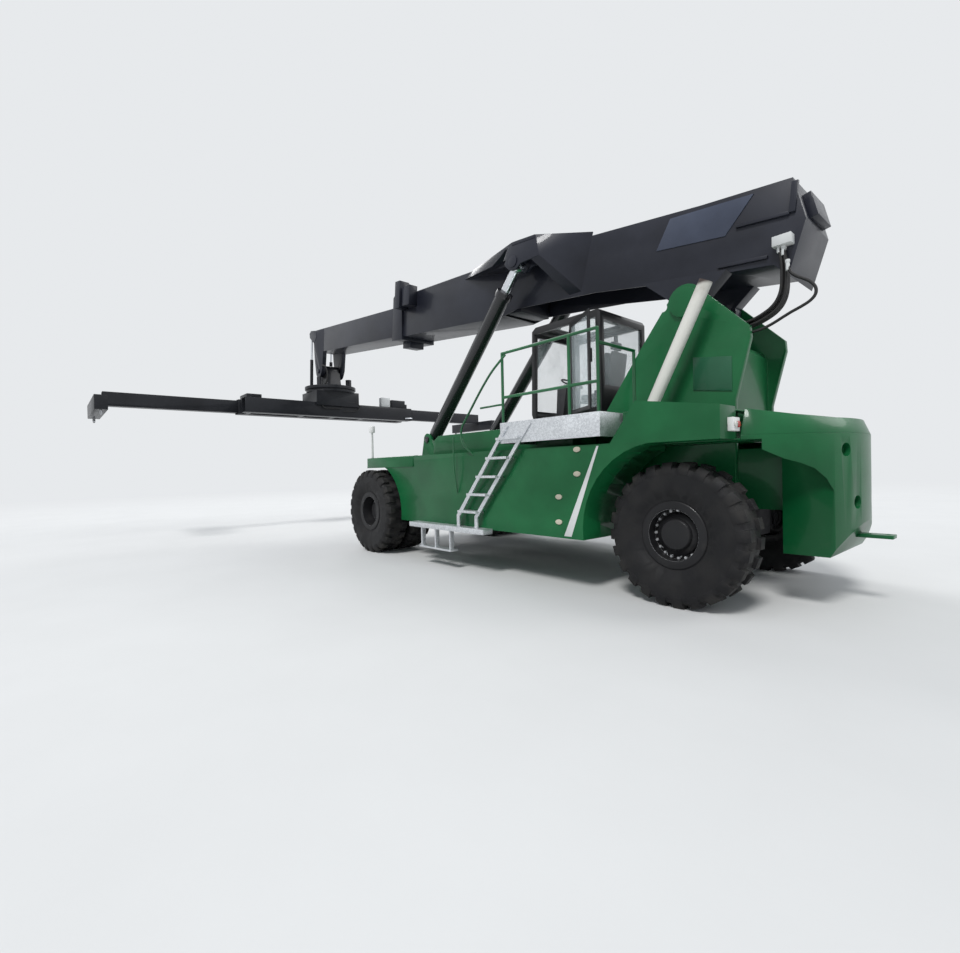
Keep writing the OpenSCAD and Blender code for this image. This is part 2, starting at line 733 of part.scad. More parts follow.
// Fixed panes of the cab, each set into its opening
module cab_glass() {
  w = cab_wall;
  g = glass_t;
  color("lightblue", 0.4) machine() {
    block([cab_rear + w / 2, -cab_half + 90, cab_floor + 450], [cab_rear + w / 2 + g, cab_half - 90, cab_roof - 150]);
    block([cab_rear + 90, cab_half - w / 2, cab_floor + 120], [door_hinge_x - 50, cab_half - w / 2 + g, door_top]);
    block([cab_rear + 90, -cab_half + w / 2 - g, cab_floor + 120], [door_hinge_x - 50, -cab_half + w / 2, door_top]);
    block([door_hinge_x, -cab_half + w / 2 - g, cab_floor + 120],
          [door_hinge_x + door_w, -cab_half + w / 2, door_top]);
    block([cab_rear + 300, -400, cab_roof - w / 2], [cab_front - 300, 400, cab_roof - w / 2 + g]);
    intersection() {
      slab([[cab_front - 35, cab_floor + 120], [cab_front - 35 + g, cab_floor + 120],
        [cab_front - 75 + g, cab_roof - 60], [cab_front - 75, cab_roof - 60]], -cab_half + 90, cab_half - 90);
      block([cab_front - 200, -cab_half + 90, cab_floor + 180], [cab_front + 1, cab_half - 90, cab_roof - 150]);
    }
  }
}

// Seat: pedestal, cushion, back and head rest
module seat() {
  z = cab_floor + cab_wall - 30;
  color(dark) machine() {
    block([1880, -170, z], [2230, 170, z + 260]);
    block([1840, -250, z + 260], [2340, 250, z + 390]);
    slab([[1840, z + 390], [1960, z + 390], [1830, z + 1020], [1730, z + 1020]], -240, 240);
    slab([[1725, z + 1020], [1820, z + 1020], [1790, z + 1190], [1710, z + 1190]], -140, 140);
  }
}

// Steering console with its wheel, and a control box beside the seat
module console() {
  z = cab_floor + cab_wall - 30;
  color(dark) machine() {
    slab([[2760, z], [2900, z], [2860, z + 560], [2700, z + 620], [2660, z + 560]], -160, 160);
    translate([2665, 0, z + 640]) rotate([0, -30, 0]) {
      translate([0, 0, -60]) cylinder(h = 80, r = 22);
      rotate_extrude() translate([190, 0]) circle(r = 14);
      for (a = [90, 210, 330]) rotate([0, 0, a]) translate([0, -12, -8]) cube([190, 24, 16]);
    }
    block([1900, -420, z], [2420, -300, z + 520]);
  }
}

// Places the children at the door hinge, with X along the closed door, turned open as parked
module door_frame() {
  machine() translate([door_hinge_x, door_hinge_y, 0]) rotate([0, 0, door_open]) children();
}

// Door frame with a window over its full height
module cab_door() {
  color(dark) door_frame() difference() {
    union() {
      block([16, -15, door_low + 10], [door_w - 8, 15, door_top - 10]);
      for (z = [door_low + 241, door_top - 159]) translate([0, 0, z]) cylinder(h = 40, r = 14);
      for (z = [door_low + 241, door_top - 159]) block([0, -12, z], [20, 12, z + 40]);
      block([door_w - 70, 14, door_low + 700], [door_w - 40, 50, door_low + 900]);
    }
    block([80, -16, door_low + 80], [door_w - 80, 16, door_top - 80]);
  }
}
module door_glass() {
  color("lightblue", 0.4) door_frame()
    block([80, -glass_t / 2, door_low + 80], [door_w - 80, glass_t / 2, door_top - 80]);
}

// Boom

tail_mid = 780;
tail_top_x = -1060;
tail_lean = atan2(outer_top - 110 - tail_mid, tail_top_x + outer_tail);
tail = [[-outer_tail, tail_mid], [-1120, 180], [-950, 330]];
outer_outline_b = concat(tail, [[500, outer_low + 20], [1600, outer_low + 90], [3300, outer_low + 90],
  [3700, outer_low], [outer_front, outer_low], [outer_front - 340, outer_top - 85],
  [3700, outer_top], [0, outer_top - 110], [tail_top_x, outer_top - 110]]);
head_a = hang_reach_in + boom_out;
inner_front = head_a - 350;
inner_rear = 3250;
wing_in = 560;
ear_r = 150;
eye_w = rod_d + 10;

// Outer boom: plated box with pivot brackets, front collar and a wing over the lift cylinders
module outer_boom() {
  h = outer_w / 2;
  color(dark) boom_frame() {
    difference() {
      slab(outer_outline_b, -h, h);
      block([-1000, -h + boom_plate, inner_low - 30], [outer_front + 1, h - boom_plate, inner_low + inner_h + 30]);
    }
    both_sides() difference() {
      union() {
        slab([[-450, outer_low], [-150, 0], [150, 0], [700, outer_low + 30]], 350, frame_half - 10);
        bar_y(0, 0, 350, frame_half - 10, 240);
      }
      bar_y(0, 0, 299, frame_half + 1, pivot_pin_d / 2 + run);
      block([-1000, 0, inner_low - 30], [2000, h - boom_plate, inner_low + 100]);
    }
    for (s = [-1, 1]) {
      block([outer_front - 360, s * (inner_w / 2 + run + 17) - 17, inner_low + 60],
            [outer_front - 160, s * (inner_w / 2 + run + 17) + 17, inner_low + inner_h - 60]);
      block([outer_front - 360, s * 250 - 80, inner_low - 31], [outer_front - 60, s * 250 + 80, inner_low - run]);
      block([outer_front - 480, s * 250 - 80, inner_low + inner_h + run],
            [outer_front - 360, s * 250 + 80, inner_low + inner_h + 31]);
    }
    both_sides() {
      slab([[2450, 1330], [3500, 1360], [3500, outer_top], [2500, outer_top]], h - 1, lift_half + 170);
      for (s = [-1, 1]) difference() {
        slab([[2300, 1340], [lift_up_a - 190, lift_up_b - 40], [lift_up_a, lift_up_b - 190],
          [lift_up_a + 190, lift_up_b - 40], [3500, 1340]],
          lift_half + s * (eye_w / 2 + 5 + 25) - 25, lift_half + s * (eye_w / 2 + 5 + 25) + 25);
      }
    }
  }
}

// Boxes and lamps carried on the boom
module boom_fittings() {
  h = outer_w / 2;
  color(dark) boom_frame() {
    block([6950, h + snug, 950], [7150, h + 260, 1560]);
    block([6600, h + snug, 980], [6900, h + 220, 1420]);
    block([7180, -200, outer_low - 220], [7500, 200, outer_low - 50]);
    for (s = [-1, 1]) block([7200, s * 150 - 30, outer_low - 51], [7400, s * 150 + 30, outer_low - snug]);
    translate([-outer_tail, 0, tail_mid]) rotate([0, -tail_lean, 0])
      block([60, -250, snug], [360, 250, 90]);
  }
}

// Inner boom: plated box, closed at both ends
module inner_boom() {
  h = inner_w / 2;
  color(dark) boom_frame() difference() {
    block([inner_rear, -h, inner_low], [inner_front, h, inner_low + inner_h]);
    block([inner_rear + boom_plate, -h + boom_plate, inner_low + boom_plate],
          [inner_front - boom_plate, h - boom_plate, inner_low + inner_h - boom_plate]);
  }
}

hang_b = -hang_drop;
hang_pin_r = 70;
tongue_half = 230;
damp_lug = [head_a + 700, 1000];
damp_y = 330;

// Head of the inner boom: cheeks that reach down to the hang pin, and the lugs of the dampers
module boom_head() {
  h = inner_w / 2;
  color(dark) boom_frame() {
    difference() {
      slab(concat([[inner_front, inner_low + inner_h], [inner_front, inner_low]],
        [[head_a - 300, inner_low], [head_a - 260, hang_b + 60]], arc(head_a, hang_b, 210, 200, 340, 6),
        [[head_a + 330, 200], [head_a + 420, 700], [head_a + 240, inner_low + inner_h]]), -h, h);
      block([inner_front - 1, -tongue_half - 25, -500], [head_a + 600, tongue_half + 25, inner_low + 40]);
      bar_y(head_a, hang_b, -h - 1, h + 1, hang_pin_r + run);
    }
    for (s = [-1, 1]) for (e = [-1, 1])
      slab([[head_a + 200, 900], [head_a + 380, 700], [damp_lug[0] + 20, damp_lug[1] - 100],
        [damp_lug[0] + 60, damp_lug[1] + 40], [damp_lug[0] - 60, damp_lug[1] + 120], [head_a + 270, 1090]],
        s * damp_y + e * 50 - 10, s * damp_y + e * 50 + 10);
    bar_y(head_a, hang_b, -h - 30, h + 30, hang_pin_r);
  }
}

// Lift cylinders

// Places the children along a lift cylinder: X from the lower pin towards the upper one
module lift_frame() {
  machine() translate([lift_low_x, lift_half, lift_low_z]) rotate([0, -lift_angle, 0]) children();
}

// Round bar along X
module bar_x(x0, x1, r) {
  translate([x0, 0, 0]) rotate([0, 90, 0]) cylinder(h = x1 - x0, r = r);
}

module barrel_left() {
  r = barrel_d / 2;
  color(dark) lift_frame() {
    bar_y(0, 0, -barrel_eye_w / 2, barrel_eye_w / 2, lift_lug_r);
    bar_y(0, 0, -barrel_eye_w / 2 - lug_t - 30, barrel_eye_w / 2 + lug_t + 30, lift_pin_d / 2 - run);
    bar_x(lift_lug_r - 40, barrel_floor - 5, barrel_eye_w / 2 - 8);
    difference() {
      union() {
        bar_x(lift_lug_r + 4, barrel_len, r);
        bar_x(barrel_len - 120, barrel_len, r + 15);
      }
      bar_x(barrel_floor, barrel_len - 60, r - barrel_t);
      bar_x(barrel_floor, barrel_len + 1, rod_d / 2 + run);
    }
  }
}
module barrel_right() { mirror([0, 1, 0]) barrel_left(); }

module rod_left() {
  color(steel) lift_frame() {
    bar_y(lift_len, 0, -eye_w / 2, eye_w / 2, ear_r);
    bar_x(lift_len - rod_len, lift_len - 60, rod_d / 2);
    bar_x(lift_len - rod_len, lift_len - rod_len + 60, barrel_d / 2 - barrel_t - run);
  }
}
module rod_right() { mirror([0, 1, 0]) rod_left(); }

// Spreader

// Places the children at the slew axis
module at_slew() {
  machine() translate([slew_x, 0, 0]) children();
}

damp_low = [710, ring_z + 180];
damp_eye = 110;
damp_pin_r = 25;

// Yoke: tongue on the hang pin over the upper slew ring, with two slew motors
module yoke() {
  color(dark) at_slew() {
    difference() {
      union() {
        bar_y(0, hang_z, -tongue_half, tongue_half, 190);
        slab([[-190, hang_z], [-320, ring_z + 60], [320, ring_z + 60], [190, hang_z]], -tongue_half, tongue_half);
      }
      bar_y(0, hang_z, -tongue_half - 1, tongue_half + 1, hang_pin_r + run);
    }
    translate([0, 0, ring_z + run]) cylinder(h = 90, r = ring_d / 2);
    for (s = [-1, 1]) translate([-300, s * 480, ring_z + 89]) cylinder(h = 260, r = 90);
    for (s = [-1, 1]) for (e = [-1, 1]) difference() {
      slab([[damp_low[0] - 130, ring_z + 89], [damp_low[0] + 50, ring_z + 89], [damp_low[0] + 50, damp_low[1] + 20],
        [damp_low[0] + 20, damp_low[1] + 50], [damp_low[0] - 50, damp_low[1] + 40]],
        s * damp_y + e * (damp_eye / 2 + run + 15) - 15, s * damp_y + e * (damp_eye / 2 + run + 15) + 15);
      bar_y(damp_low[0], damp_low[1], -500, 500, damp_pin_r + run);
    }
  }
}

damp_top = [pivot_x + rad_rot(damp_lug[0], damp_lug[1], boom_angle)[0] - slew_x,
            pivot_z + rad_rot(damp_lug[0], damp_lug[1], boom_angle)[1]];
damp_len = norm(damp_top - damp_low);
damp_angle = atan2(damp_top[1] - damp_low[1], damp_top[0] - damp_low[0]);

// Places the children along a damper, from its lower eye
module damp_frame() {
  at_slew() translate([damp_low[0], 0, damp_low[1]]) rotate([0, -damp_angle, 0]) children();
}
module damper_barrels() {
  color(dark) damp_frame() for (s = [-1, 1]) translate([0, s * damp_y, 0]) {
    bar_y(0, 0, -damp_eye / 2, damp_eye / 2, 45);
    bar_y(0, 0, -damp_eye / 2 - 35, damp_eye / 2 + 35, damp_pin_r);
    difference() {
      bar_x(30, 900, 50);
      bar_x(60, 901, 30 + run);
    }
  }
}
module damper_rods() {
  color(steel) damp_frame() for (s = [-1, 1]) translate([0, s * damp_y, 0]) {
    bar_x(damp_len - 850, damp_len - 30, 30);
    bar_y(damp_len, 0, -34, 34, 45);
  }
}

shoe_x = tube_offset + tube_w / 2;

// Slew table: lower ring on a carriage whose shoes grip the two boxes of the main frame
module slew_table() {
  color(dark) at_slew() {
    translate([0, 0, ring_z - 90]) cylinder(h = 90, r = ring_d / 2 - 40);
    block([-shoe_x - 60, -700, frame_z + run], [shoe_x + 60, 700, ring_z - 89]);
    for (s = [-1, 1]) {
      block([min(s * (shoe_x + run), s * (shoe_x + 60)), -700, frame_z - 90],
            [max(s * (shoe_x + run), s * (shoe_x + 60)), 700, frame_z + 1]);
    }
  }
}

// Main frame: two boxes side by side, one for each telescopic beam
module spreader_frame() {
  color(dark) at_slew() {
    for (s = [-1, 1]) difference() {
      block([s * tube_offset - tube_w / 2, -spreader_half, frame_z - tube_h],
            [s * tube_offset + tube_w / 2, spreader_half, frame_z]);
      block([s * tube_offset - tube_w / 2 + tube_wall, -spreader_half - 1, frame_z - tube_h + tube_wall],
            [s * tube_offset + tube_w / 2 - tube_wall, spreader_half + 1, frame_z - tube_wall]);
    }
    for (y = [-spreader_half + 200, -1000, 0, 1000, spreader_half - 200])
      block([-tube_offset + tube_w / 2 - 1, y - 60, frame_z - tube_h], [tube_offset - tube_w / 2 + 1, y + 60, frame_z - 20]);
    for (s = [-1, 1]) for (e = [-1, 1])
      block([s * tube_offset - 100, e * (spreader_half - 100) - 60, frame_z - tube_h + tube_wall - 1],
            [s * tube_offset + 100, e * (spreader_half - 100) + 60, frame_z - tube_h + tube_wall + beam_clear - run]);
  }
}

// Hydraulic drive on the main frame: motor block, valve box and pipes
module spreader_drive() {
  color(dark) at_slew() {
    block([-tube_offset, -spreader_half + 80, frame_z], [tube_offset, -spreader_half + 700, frame_z + 160]);
    block([-tube_offset, spreader_half - 500, frame_z], [tube_offset, spreader_half - 100, frame_z + 120]);
  }
}

beam_w = tube_w - 2 * tube_wall - 2 * beam_clear;
beam_h = tube_h - 2 * tube_wall - 2 * beam_clear;

// Telescopic arm: beam, end beam across the container and the twistlock housings
module arm(side) {
  bx = side * tube_offset;
  bz = frame_z - tube_h / 2;
  color(dark) at_slew() {
    difference() {
      block([bx - beam_w / 2, 900, bz - beam_h / 2], [bx + beam_w / 2, lock_y - end_w / 2 + 1, bz + beam_h / 2]);
      block([bx - beam_w / 2 + 12, 899, bz - beam_h / 2 + 12],
            [bx + beam_w / 2 - 12, lock_y - end_w / 2 + 2, bz + beam_h / 2 - 12]);
    }
    difference() {
      block([-end_len / 2, lock_y - end_w / 2, bz - beam_h / 2 - end_drop],
            [end_len / 2, lock_y + end_w / 2, bz - beam_h / 2 - end_drop + end_h]);
      block([-end_len / 2 + 12, lock_y - end_w / 2 + 12, bz - beam_h / 2 - end_drop + 12],
            [end_len / 2 - 12, lock_y + end_w / 2 - 12, bz - beam_h / 2 - end_drop - 12 + end_h]);
      for (s = [-1, 1]) translate([s * lock_span_x / 2, lock_y, bz - beam_h / 2 - end_drop - 1])
        cylinder(h = 14, r = lock_r + run);
    }
  }
}
lock_r = 32;
module arm_left() { arm(1); }
module arm_right() { mirror([0, 1, 0]) arm(-1); }

// Twistlock: round shank and a head longer than wide
module twistlock(s) {
  z = frame_z - tube_h / 2 - beam_h / 2 - end_drop;
  color(steel) at_slew() translate([s * lock_span_x / 2, lock_y, 0]) {
    translate([0, 0, z - lock_len + 50]) cylinder(h = lock_len - 50 + 40, r = lock_r);
    translate([0, 0, z + 12 + run]) cylinder(h = 40, r = lock_r + 20);
    hull() {
      for (e = [-1, 1]) translate([e * 20, 0, z - lock_len + 50]) cylinder(h = 1, r = 32, $fn = 32);
      translate([0, 0, z - lock_len]) cylinder(h = 1, r = 18, $fn = 32);
    }
  }
}
module twistlock_front_left() { twistlock(1); }
module twistlock_rear_left() { twistlock(-1); }
module twistlock_front_right() { mirror([0, 1, 0]) twistlock(1); }
module twistlock_rear_right() { mirror([0, 1, 0]) twistlock(-1); }

chassis_frame();
tower();
front_axle();
rear_axle();
knuckle_left();
knuckle_right();
tyres_front_left();
tyres_front_right();
tyre_rear_left();
tyre_rear_right();
rims_front_left();
rims_front_right();
rim_rear_left();
rim_rear_right();
side_body_left();
side_body_right();
counterweight();
hood();
engine();
exhaust();
access_steps();
railings();
lamps();
cab_shell();
cab_glass();
seat();
console();
cab_door();
door_glass();
outer_boom();
boom_fittings();
inner_boom();
boom_head();
barrel_left();
barrel_right();
rod_left();
rod_right();
yoke();
damper_barrels();
damper_rods();
slew_table();
spreader_frame();
spreader_drive();
arm_left();
arm_right();
twistlock_front_left();
twistlock_rear_left();
twistlock_front_right();
twistlock_rear_right();
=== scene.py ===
"""Looks of a reach stacker with a telescopic boom and a container spreader.

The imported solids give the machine's main sizes and places. This script dresses them with paint, rubber and
glass, and adds hoses, a seat and fittings.
Lengths are in metres. X runs forward, Y to the left and Z up from the ground.
"""
import json
import math

import bmesh
import bpy
from mathutils import Matrix, Quaternion, Vector


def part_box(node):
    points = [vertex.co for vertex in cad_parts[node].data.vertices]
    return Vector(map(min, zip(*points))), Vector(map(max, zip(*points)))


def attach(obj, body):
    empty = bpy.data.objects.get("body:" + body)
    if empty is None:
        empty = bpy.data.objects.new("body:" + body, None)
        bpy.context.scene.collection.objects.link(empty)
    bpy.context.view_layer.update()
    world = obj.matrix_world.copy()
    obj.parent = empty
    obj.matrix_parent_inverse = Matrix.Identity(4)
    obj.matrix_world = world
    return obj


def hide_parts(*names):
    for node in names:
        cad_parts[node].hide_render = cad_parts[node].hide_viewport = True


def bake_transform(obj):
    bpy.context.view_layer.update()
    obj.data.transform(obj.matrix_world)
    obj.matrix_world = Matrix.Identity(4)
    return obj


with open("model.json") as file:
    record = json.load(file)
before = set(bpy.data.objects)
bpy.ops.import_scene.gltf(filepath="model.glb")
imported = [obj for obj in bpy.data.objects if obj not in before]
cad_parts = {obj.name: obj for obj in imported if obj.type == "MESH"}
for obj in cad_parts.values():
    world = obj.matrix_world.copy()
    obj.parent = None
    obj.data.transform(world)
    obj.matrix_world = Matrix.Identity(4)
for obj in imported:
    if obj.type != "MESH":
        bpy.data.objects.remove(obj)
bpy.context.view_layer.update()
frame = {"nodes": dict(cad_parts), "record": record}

low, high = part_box("rim_rear_left")
rear_axle = Vector(((low.x + high.x) / 2, 0, (low.z + high.z) / 2))

CAMERA_FROM_REAR_AXLE = Vector((-2.8135, 6.9348, 0))
CAMERA_HEIGHT = 1.622
CAMERA_YAW = -41.011
CAMERA_PITCH = -0.802
CAMERA_ROLL = -1.249
FOCAL_PIXELS = 496.7
IMAGE_WIDTH = 960

bpy.ops.object.select_all(action="DESELECT")
yaw, pitch = math.radians(CAMERA_YAW), math.radians(CAMERA_PITCH)
look = Vector((math.cos(yaw) * math.cos(pitch), math.sin(yaw) * math.cos(pitch), math.sin(pitch)))
bpy.ops.object.camera_add()
camera = bpy.context.object
camera.name = "camera"
camera.location = Vector((rear_axle.x, 0, CAMERA_HEIGHT)) + CAMERA_FROM_REAR_AXLE
camera.rotation_mode = "QUATERNION"
camera.rotation_quaternion = look.to_track_quat("-Z", "Y") @ Quaternion((0, 0, 1), math.radians(CAMERA_ROLL))
camera.data.sensor_width = 36
camera.data.lens = FOCAL_PIXELS * camera.data.sensor_width / IMAGE_WIDTH
camera.data.clip_end = 200
bpy.context.scene.camera = camera

# Floor and light: a plain pale floor that fades into a pale background, a broad key light from the left,
# two weaker lamps from the right and a soft sky. None of it belongs to the machine.
BACKDROP = (0.80, 0.82, 0.84, 1)
FLOOR_RADIUS = 90
FLOOR_FADE = (14, 42)

bpy.ops.object.select_all(action="DESELECT")
bpy.ops.mesh.primitive_circle_add(vertices=96, radius=FLOOR_RADIUS, fill_type="NGON", location=(0, 0, 0))
floor = bpy.context.object
floor.name = "floor"


class Value:
    """An output of a shader node. It can be added, multiplied, raised to a power or taken from a number."""

    def __init__(self, finish, output):
        self.finish = finish
        self.output = output

    def maths(self, operation, first, second):
        return self.finish.node("ShaderNodeMath", {"operation": operation}, {0: first, 1: second})

    def __add__(self, other):
        return self.maths("ADD", self, other)

    def __rsub__(self, other):
        return self.maths("SUBTRACT", other, self)

    def __mul__(self, other):
        return self.maths("MULTIPLY", self, other)

    def __pow__(self, other):
        return self.maths("POWER", self, other)

    __radd__ = __add__
    __rmul__ = __mul__

    def ramp(self, low, high):
        """Goes from 0 to 1 as the value goes from low to high, and stays inside them."""
        settings = {"interpolation_type": "SMOOTHSTEP"}
        return self.finish.node("ShaderNodeMapRange", settings, {0: self, 1: low, 2: high, 3: 0, 4: 1})


class Finish:
    """A surface finish: a material whose nodes all come from one method."""

    def __init__(self, name, **constants):
        self.material = bpy.data.materials.new(name)
        self.material.use_nodes = True
        self.tree = self.material.node_tree
        self.shader = self.tree.nodes["Principled BSDF"]
        for socket, value in constants.items():
            self.shader.inputs[socket.replace("_", " ")].default_value = value

    def node(self, kind, settings=None, sockets=None, output=0):
        made = self.tree.nodes.new(kind)
        for name, value in (settings or {}).items():
            setattr(made, name, value)
        for key, value in (sockets or {}).items():
            self.feed(made.inputs[key], value)
        return Value(self, made.outputs[output])

    def feed(self, socket, value):
        if isinstance(value, Value):
            self.tree.links.new(value.output, socket)
        else:
            socket.default_value = value

    def place(self, centre=(0, 0, 0), stretch=(1, 1, 1)):
        """Object coordinates in metres, measured from a centre."""
        point = self.node("ShaderNodeTexCoord", output="Object")
        away = self.node("ShaderNodeVectorMath", {"operation": "SUBTRACT"}, {0: point, 1: centre})
        return self.node("ShaderNodeVectorMath", {"operation": "MULTIPLY"}, {0: away, 1: stretch})

    def axis(self, name, centre=(0, 0, 0)):
        """One coordinate of the place, by its letter."""
        return self.node("ShaderNodeSeparateXYZ", sockets={0: self.place(centre)}, output=name)

    def grain(self, scale, detail=3, stretch=(1, 1, 1), rough=0.55):
        """Cloudy noise from 0 to 1, with its features about 1 / scale metres wide."""
        sockets = {"Vector": self.place(stretch=stretch), "Scale": scale, "Detail": detail,
                   "Roughness": rough}
        return self.node("ShaderNodeTexNoise", sockets=sockets)

    def cells(self, scale, output="Distance"):
        """Cell pattern with cells about 1 / scale metres wide."""
        sockets = {"Vector": self.place(), "Scale": scale}
        return self.node("ShaderNodeTexVoronoi", sockets=sockets, output=output)

    def upward(self):
        """1 where the surface faces up, 0 where it stands upright or faces down."""
        normal = self.node("ShaderNodeNewGeometry", output="Normal")
        facing = self.node("ShaderNodeSeparateXYZ", sockets={0: normal}, output="Z")
        return facing.ramp(0.35, 0.95)

    def mix(self, share, first, second):
        """Colour that goes from the first to the second as the share goes from 0 to 1."""
        made = self.tree.nodes.new("ShaderNodeMix")
        made.data_type = "RGBA"
        self.feed(made.inputs[0], share)
        self.feed(made.inputs[6], first)
        self.feed(made.inputs[7], second)
        return Value(self, made.outputs[2])

    def colour(self, value):
        self.feed(self.shader.inputs["Base Color"], value)

    def rough(self, value):
        self.feed(self.shader.inputs["Roughness"], value)

    def bump(self, height, distance, strength=1.0):
        sockets = {"Height": height, "Distance": distance, "Strength": strength}
        self.feed(self.shader.inputs["Normal"], self.node("ShaderNodeBump", sockets=sockets))


concrete = Finish("pale_floor", Roughness=0.85)
concrete.colour(concrete.mix(concrete.grain(0.6, 6), (0.56, 0.56, 0.55, 1), (0.62, 0.62, 0.61, 1)))
concrete.bump(concrete.grain(24, 4), 0.002, 0.3)
from_centre = concrete.node("ShaderNodeVectorMath", {"operation": "LENGTH"}, {0: concrete.place()}, "Value")
seen = concrete.node("ShaderNodeLightPath", output="Is Camera Ray")
glossed = concrete.node("ShaderNodeLightPath", output="Is Glossy Ray")
passed = concrete.node("ShaderNodeLightPath", output="Is Transmission Ray")
far = from_centre.ramp(*FLOOR_FADE) * (seen + glossed + passed).ramp(0, 1)
glow = concrete.node("ShaderNodeEmission", sockets={"Color": BACKDROP, "Strength": 1.0})
blend = concrete.tree.nodes.new("ShaderNodeMixShader")
concrete.feed(blend.inputs[0], far)
concrete.tree.links.new(concrete.shader.outputs[0], blend.inputs[1])
concrete.feed(blend.inputs[2], glow)
concrete.tree.links.new(blend.outputs[0], concrete.tree.nodes["Material Output"].inputs["Surface"])
floor.data.materials.append(concrete.material)

world = bpy.data.worlds.new("studio")
bpy.context.scene.world = world
world.use_nodes = True
sky = world.node_tree
SKY_LIGHT = (0.50, 0.54, 0.60, 1)
path = sky.nodes.new("ShaderNodeLightPath")
either = sky.nodes.new("ShaderNodeMath")
either.operation = "MAXIMUM"
sky.links.new(path.outputs["Is Camera Ray"], either.inputs[0])
sky.links.new(path.outputs["Is Transmission Ray"], either.inputs[1])
any_direct = sky.nodes.new("ShaderNodeMath")
any_direct.operation = "MAXIMUM"
sky.links.new(either.outputs[0], any_direct.inputs[0])
sky.links.new(path.outputs["Is Glossy Ray"], any_direct.inputs[1])
shown = sky.nodes.new("ShaderNodeMix")
shown.data_type = "RGBA"
sky.links.new(any_direct.outputs[0], shown.inputs[0])
shown.inputs[6].default_value = SKY_LIGHT
shown.inputs[7].default_value = BACKDROP
sky.links.new(shown.outputs[2], sky.nodes["Background"].inputs["Color"])
bpy.context.scene.view_settings.view_transform = "Standard"

# Each lamp: name, direction towards the lamp, strength, angle in degrees across
LAMPS = (
    ("key_light", (-0.35, 0.9, 1.15), 2.3, 14),
    ("fill_light", (1.0, -0.45, 0.8), 0.9, 30),
    ("rim_light", (-0.9, -0.9, 0.9), 0.8, 30),
)
for name, towards, strength, across in LAMPS:
    bpy.ops.object.light_add(type="SUN", location=Vector(towards) * 20)
    lamp = bpy.context.object
    lamp.name = name
    lamp.data.energy = strength
    lamp.data.angle = math.radians(across)
    lamp.rotation_mode = "QUATERNION"
    lamp.rotation_quaternion = Vector(towards).to_track_quat("Z", "Y")
bpy.ops.object.select_all(action="DESELECT")

# Hoses: black rubber hydraulic hoses. A bundle hangs from the valve block on the boom's tail to the manifold
# on the tower's cross box, one more loops behind it, and three feed the spreader at the yoke. Each route is a
# list of (x, z) points from the rear axle, and the hoses of a bundle lie side by side.
EDGE_ANGLE = 32
SMOOTH_ANGLE = 30
bodies = frame["record"]["behaviour"]["bodies"]
body_of_node = {node: body for body, nodes in bodies.items() for node in nodes}


def settle(piece, body, finish, replaced=()):
    """Gives a finished piece its material and its body, and hides the nodes that it stands for."""
    piece.data.materials.clear()
    piece.data.materials.append(finish.material)
    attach(piece, body)
    if replaced:
        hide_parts(*replaced)


def spot(x, y, z):
    """Point given from the rear axle, the machine's middle and the ground."""
    return (rear_axle.x + x, y, z)


def add_mesh(name, shape):
    """Turns a bmesh into a piece whose faces look outward."""
    bmesh.ops.recalc_face_normals(shape, faces=shape.faces)
    mesh = bpy.data.meshes.new(name)
    shape.to_mesh(mesh)
    shape.free()
    piece = bpy.data.objects.new(name, mesh)
    bpy.context.collection.objects.link(piece)
    return piece


def only(piece):
    """Selects one piece and makes it active."""
    bpy.ops.object.select_all(action="DESELECT")
    bpy.context.view_layer.objects.active = piece
    piece.select_set(True)


def break_edges(piece, width, angle=EDGE_ANGLE):
    """Breaks a piece's sharp edges and shades the rest smooth."""
    only(piece)
    if width:
        broken = piece.modifiers.new("edge", "BEVEL")
        broken.width = width
        broken.segments = 2
        broken.limit_method = "ANGLE"
        broken.angle_limit = math.radians(angle)
        bpy.ops.object.modifier_apply(modifier="edge")
    bpy.ops.object.shade_smooth_by_angle(angle=math.radians(SMOOTH_ANGLE))


def rounded(points, bend, steps=5):
    """Points of a line whose corners are turned into arcs of about the bend's radius."""
    points = [Vector(point) for point in points]
    line = [points[0]]
    for before, corner, after in zip(points, points[1:], points[2:]):
        reach = min(bend, (before - corner).length * 0.45, (after - corner).length * 0.45)
        start = corner + (before - corner).normalized() * reach
        end = corner + (after - corner).normalized() * reach
        for i in range(steps + 1):
            t = i / steps
            line.append(start * (1 - t) ** 2 + corner * 2 * t * (1 - t) + end * t * t)
    return line + [points[-1]]


def tube(name, points, radius, bend, sides=12):
    """Round tube along a line of points, with its corners bent and its ends closed."""
    line = rounded(points, bend) if bend else [Vector(point) for point in points]
    shape = bmesh.new()
    rings = []
    angles = [2 * math.pi * k / sides for k in range(sides)]
    across = None
    for i, point in enumerate(line):
        forward = (line[min(i + 1, len(line) - 1)] - line[max(i - 1, 0)]).normalized()
        if across is None:
            across = forward.orthogonal().normalized()
        across = (across - forward * across.dot(forward)).normalized()
        other = forward.cross(across)
        spokes = [math.cos(angle) * across + math.sin(angle) * other for angle in angles]
        rings.append([shape.verts.new(point + radius * spoke) for spoke in spokes])
    for first, second in zip(rings, rings[1:]):
        for k in range(sides):
            shape.faces.new((first[k - 1], first[k], second[k], second[k - 1]))
    shape.faces.new(rings[0])
    shape.faces.new(rings[-1])
    piece = add_mesh(name, shape)
    break_edges(piece, 0)
    return piece


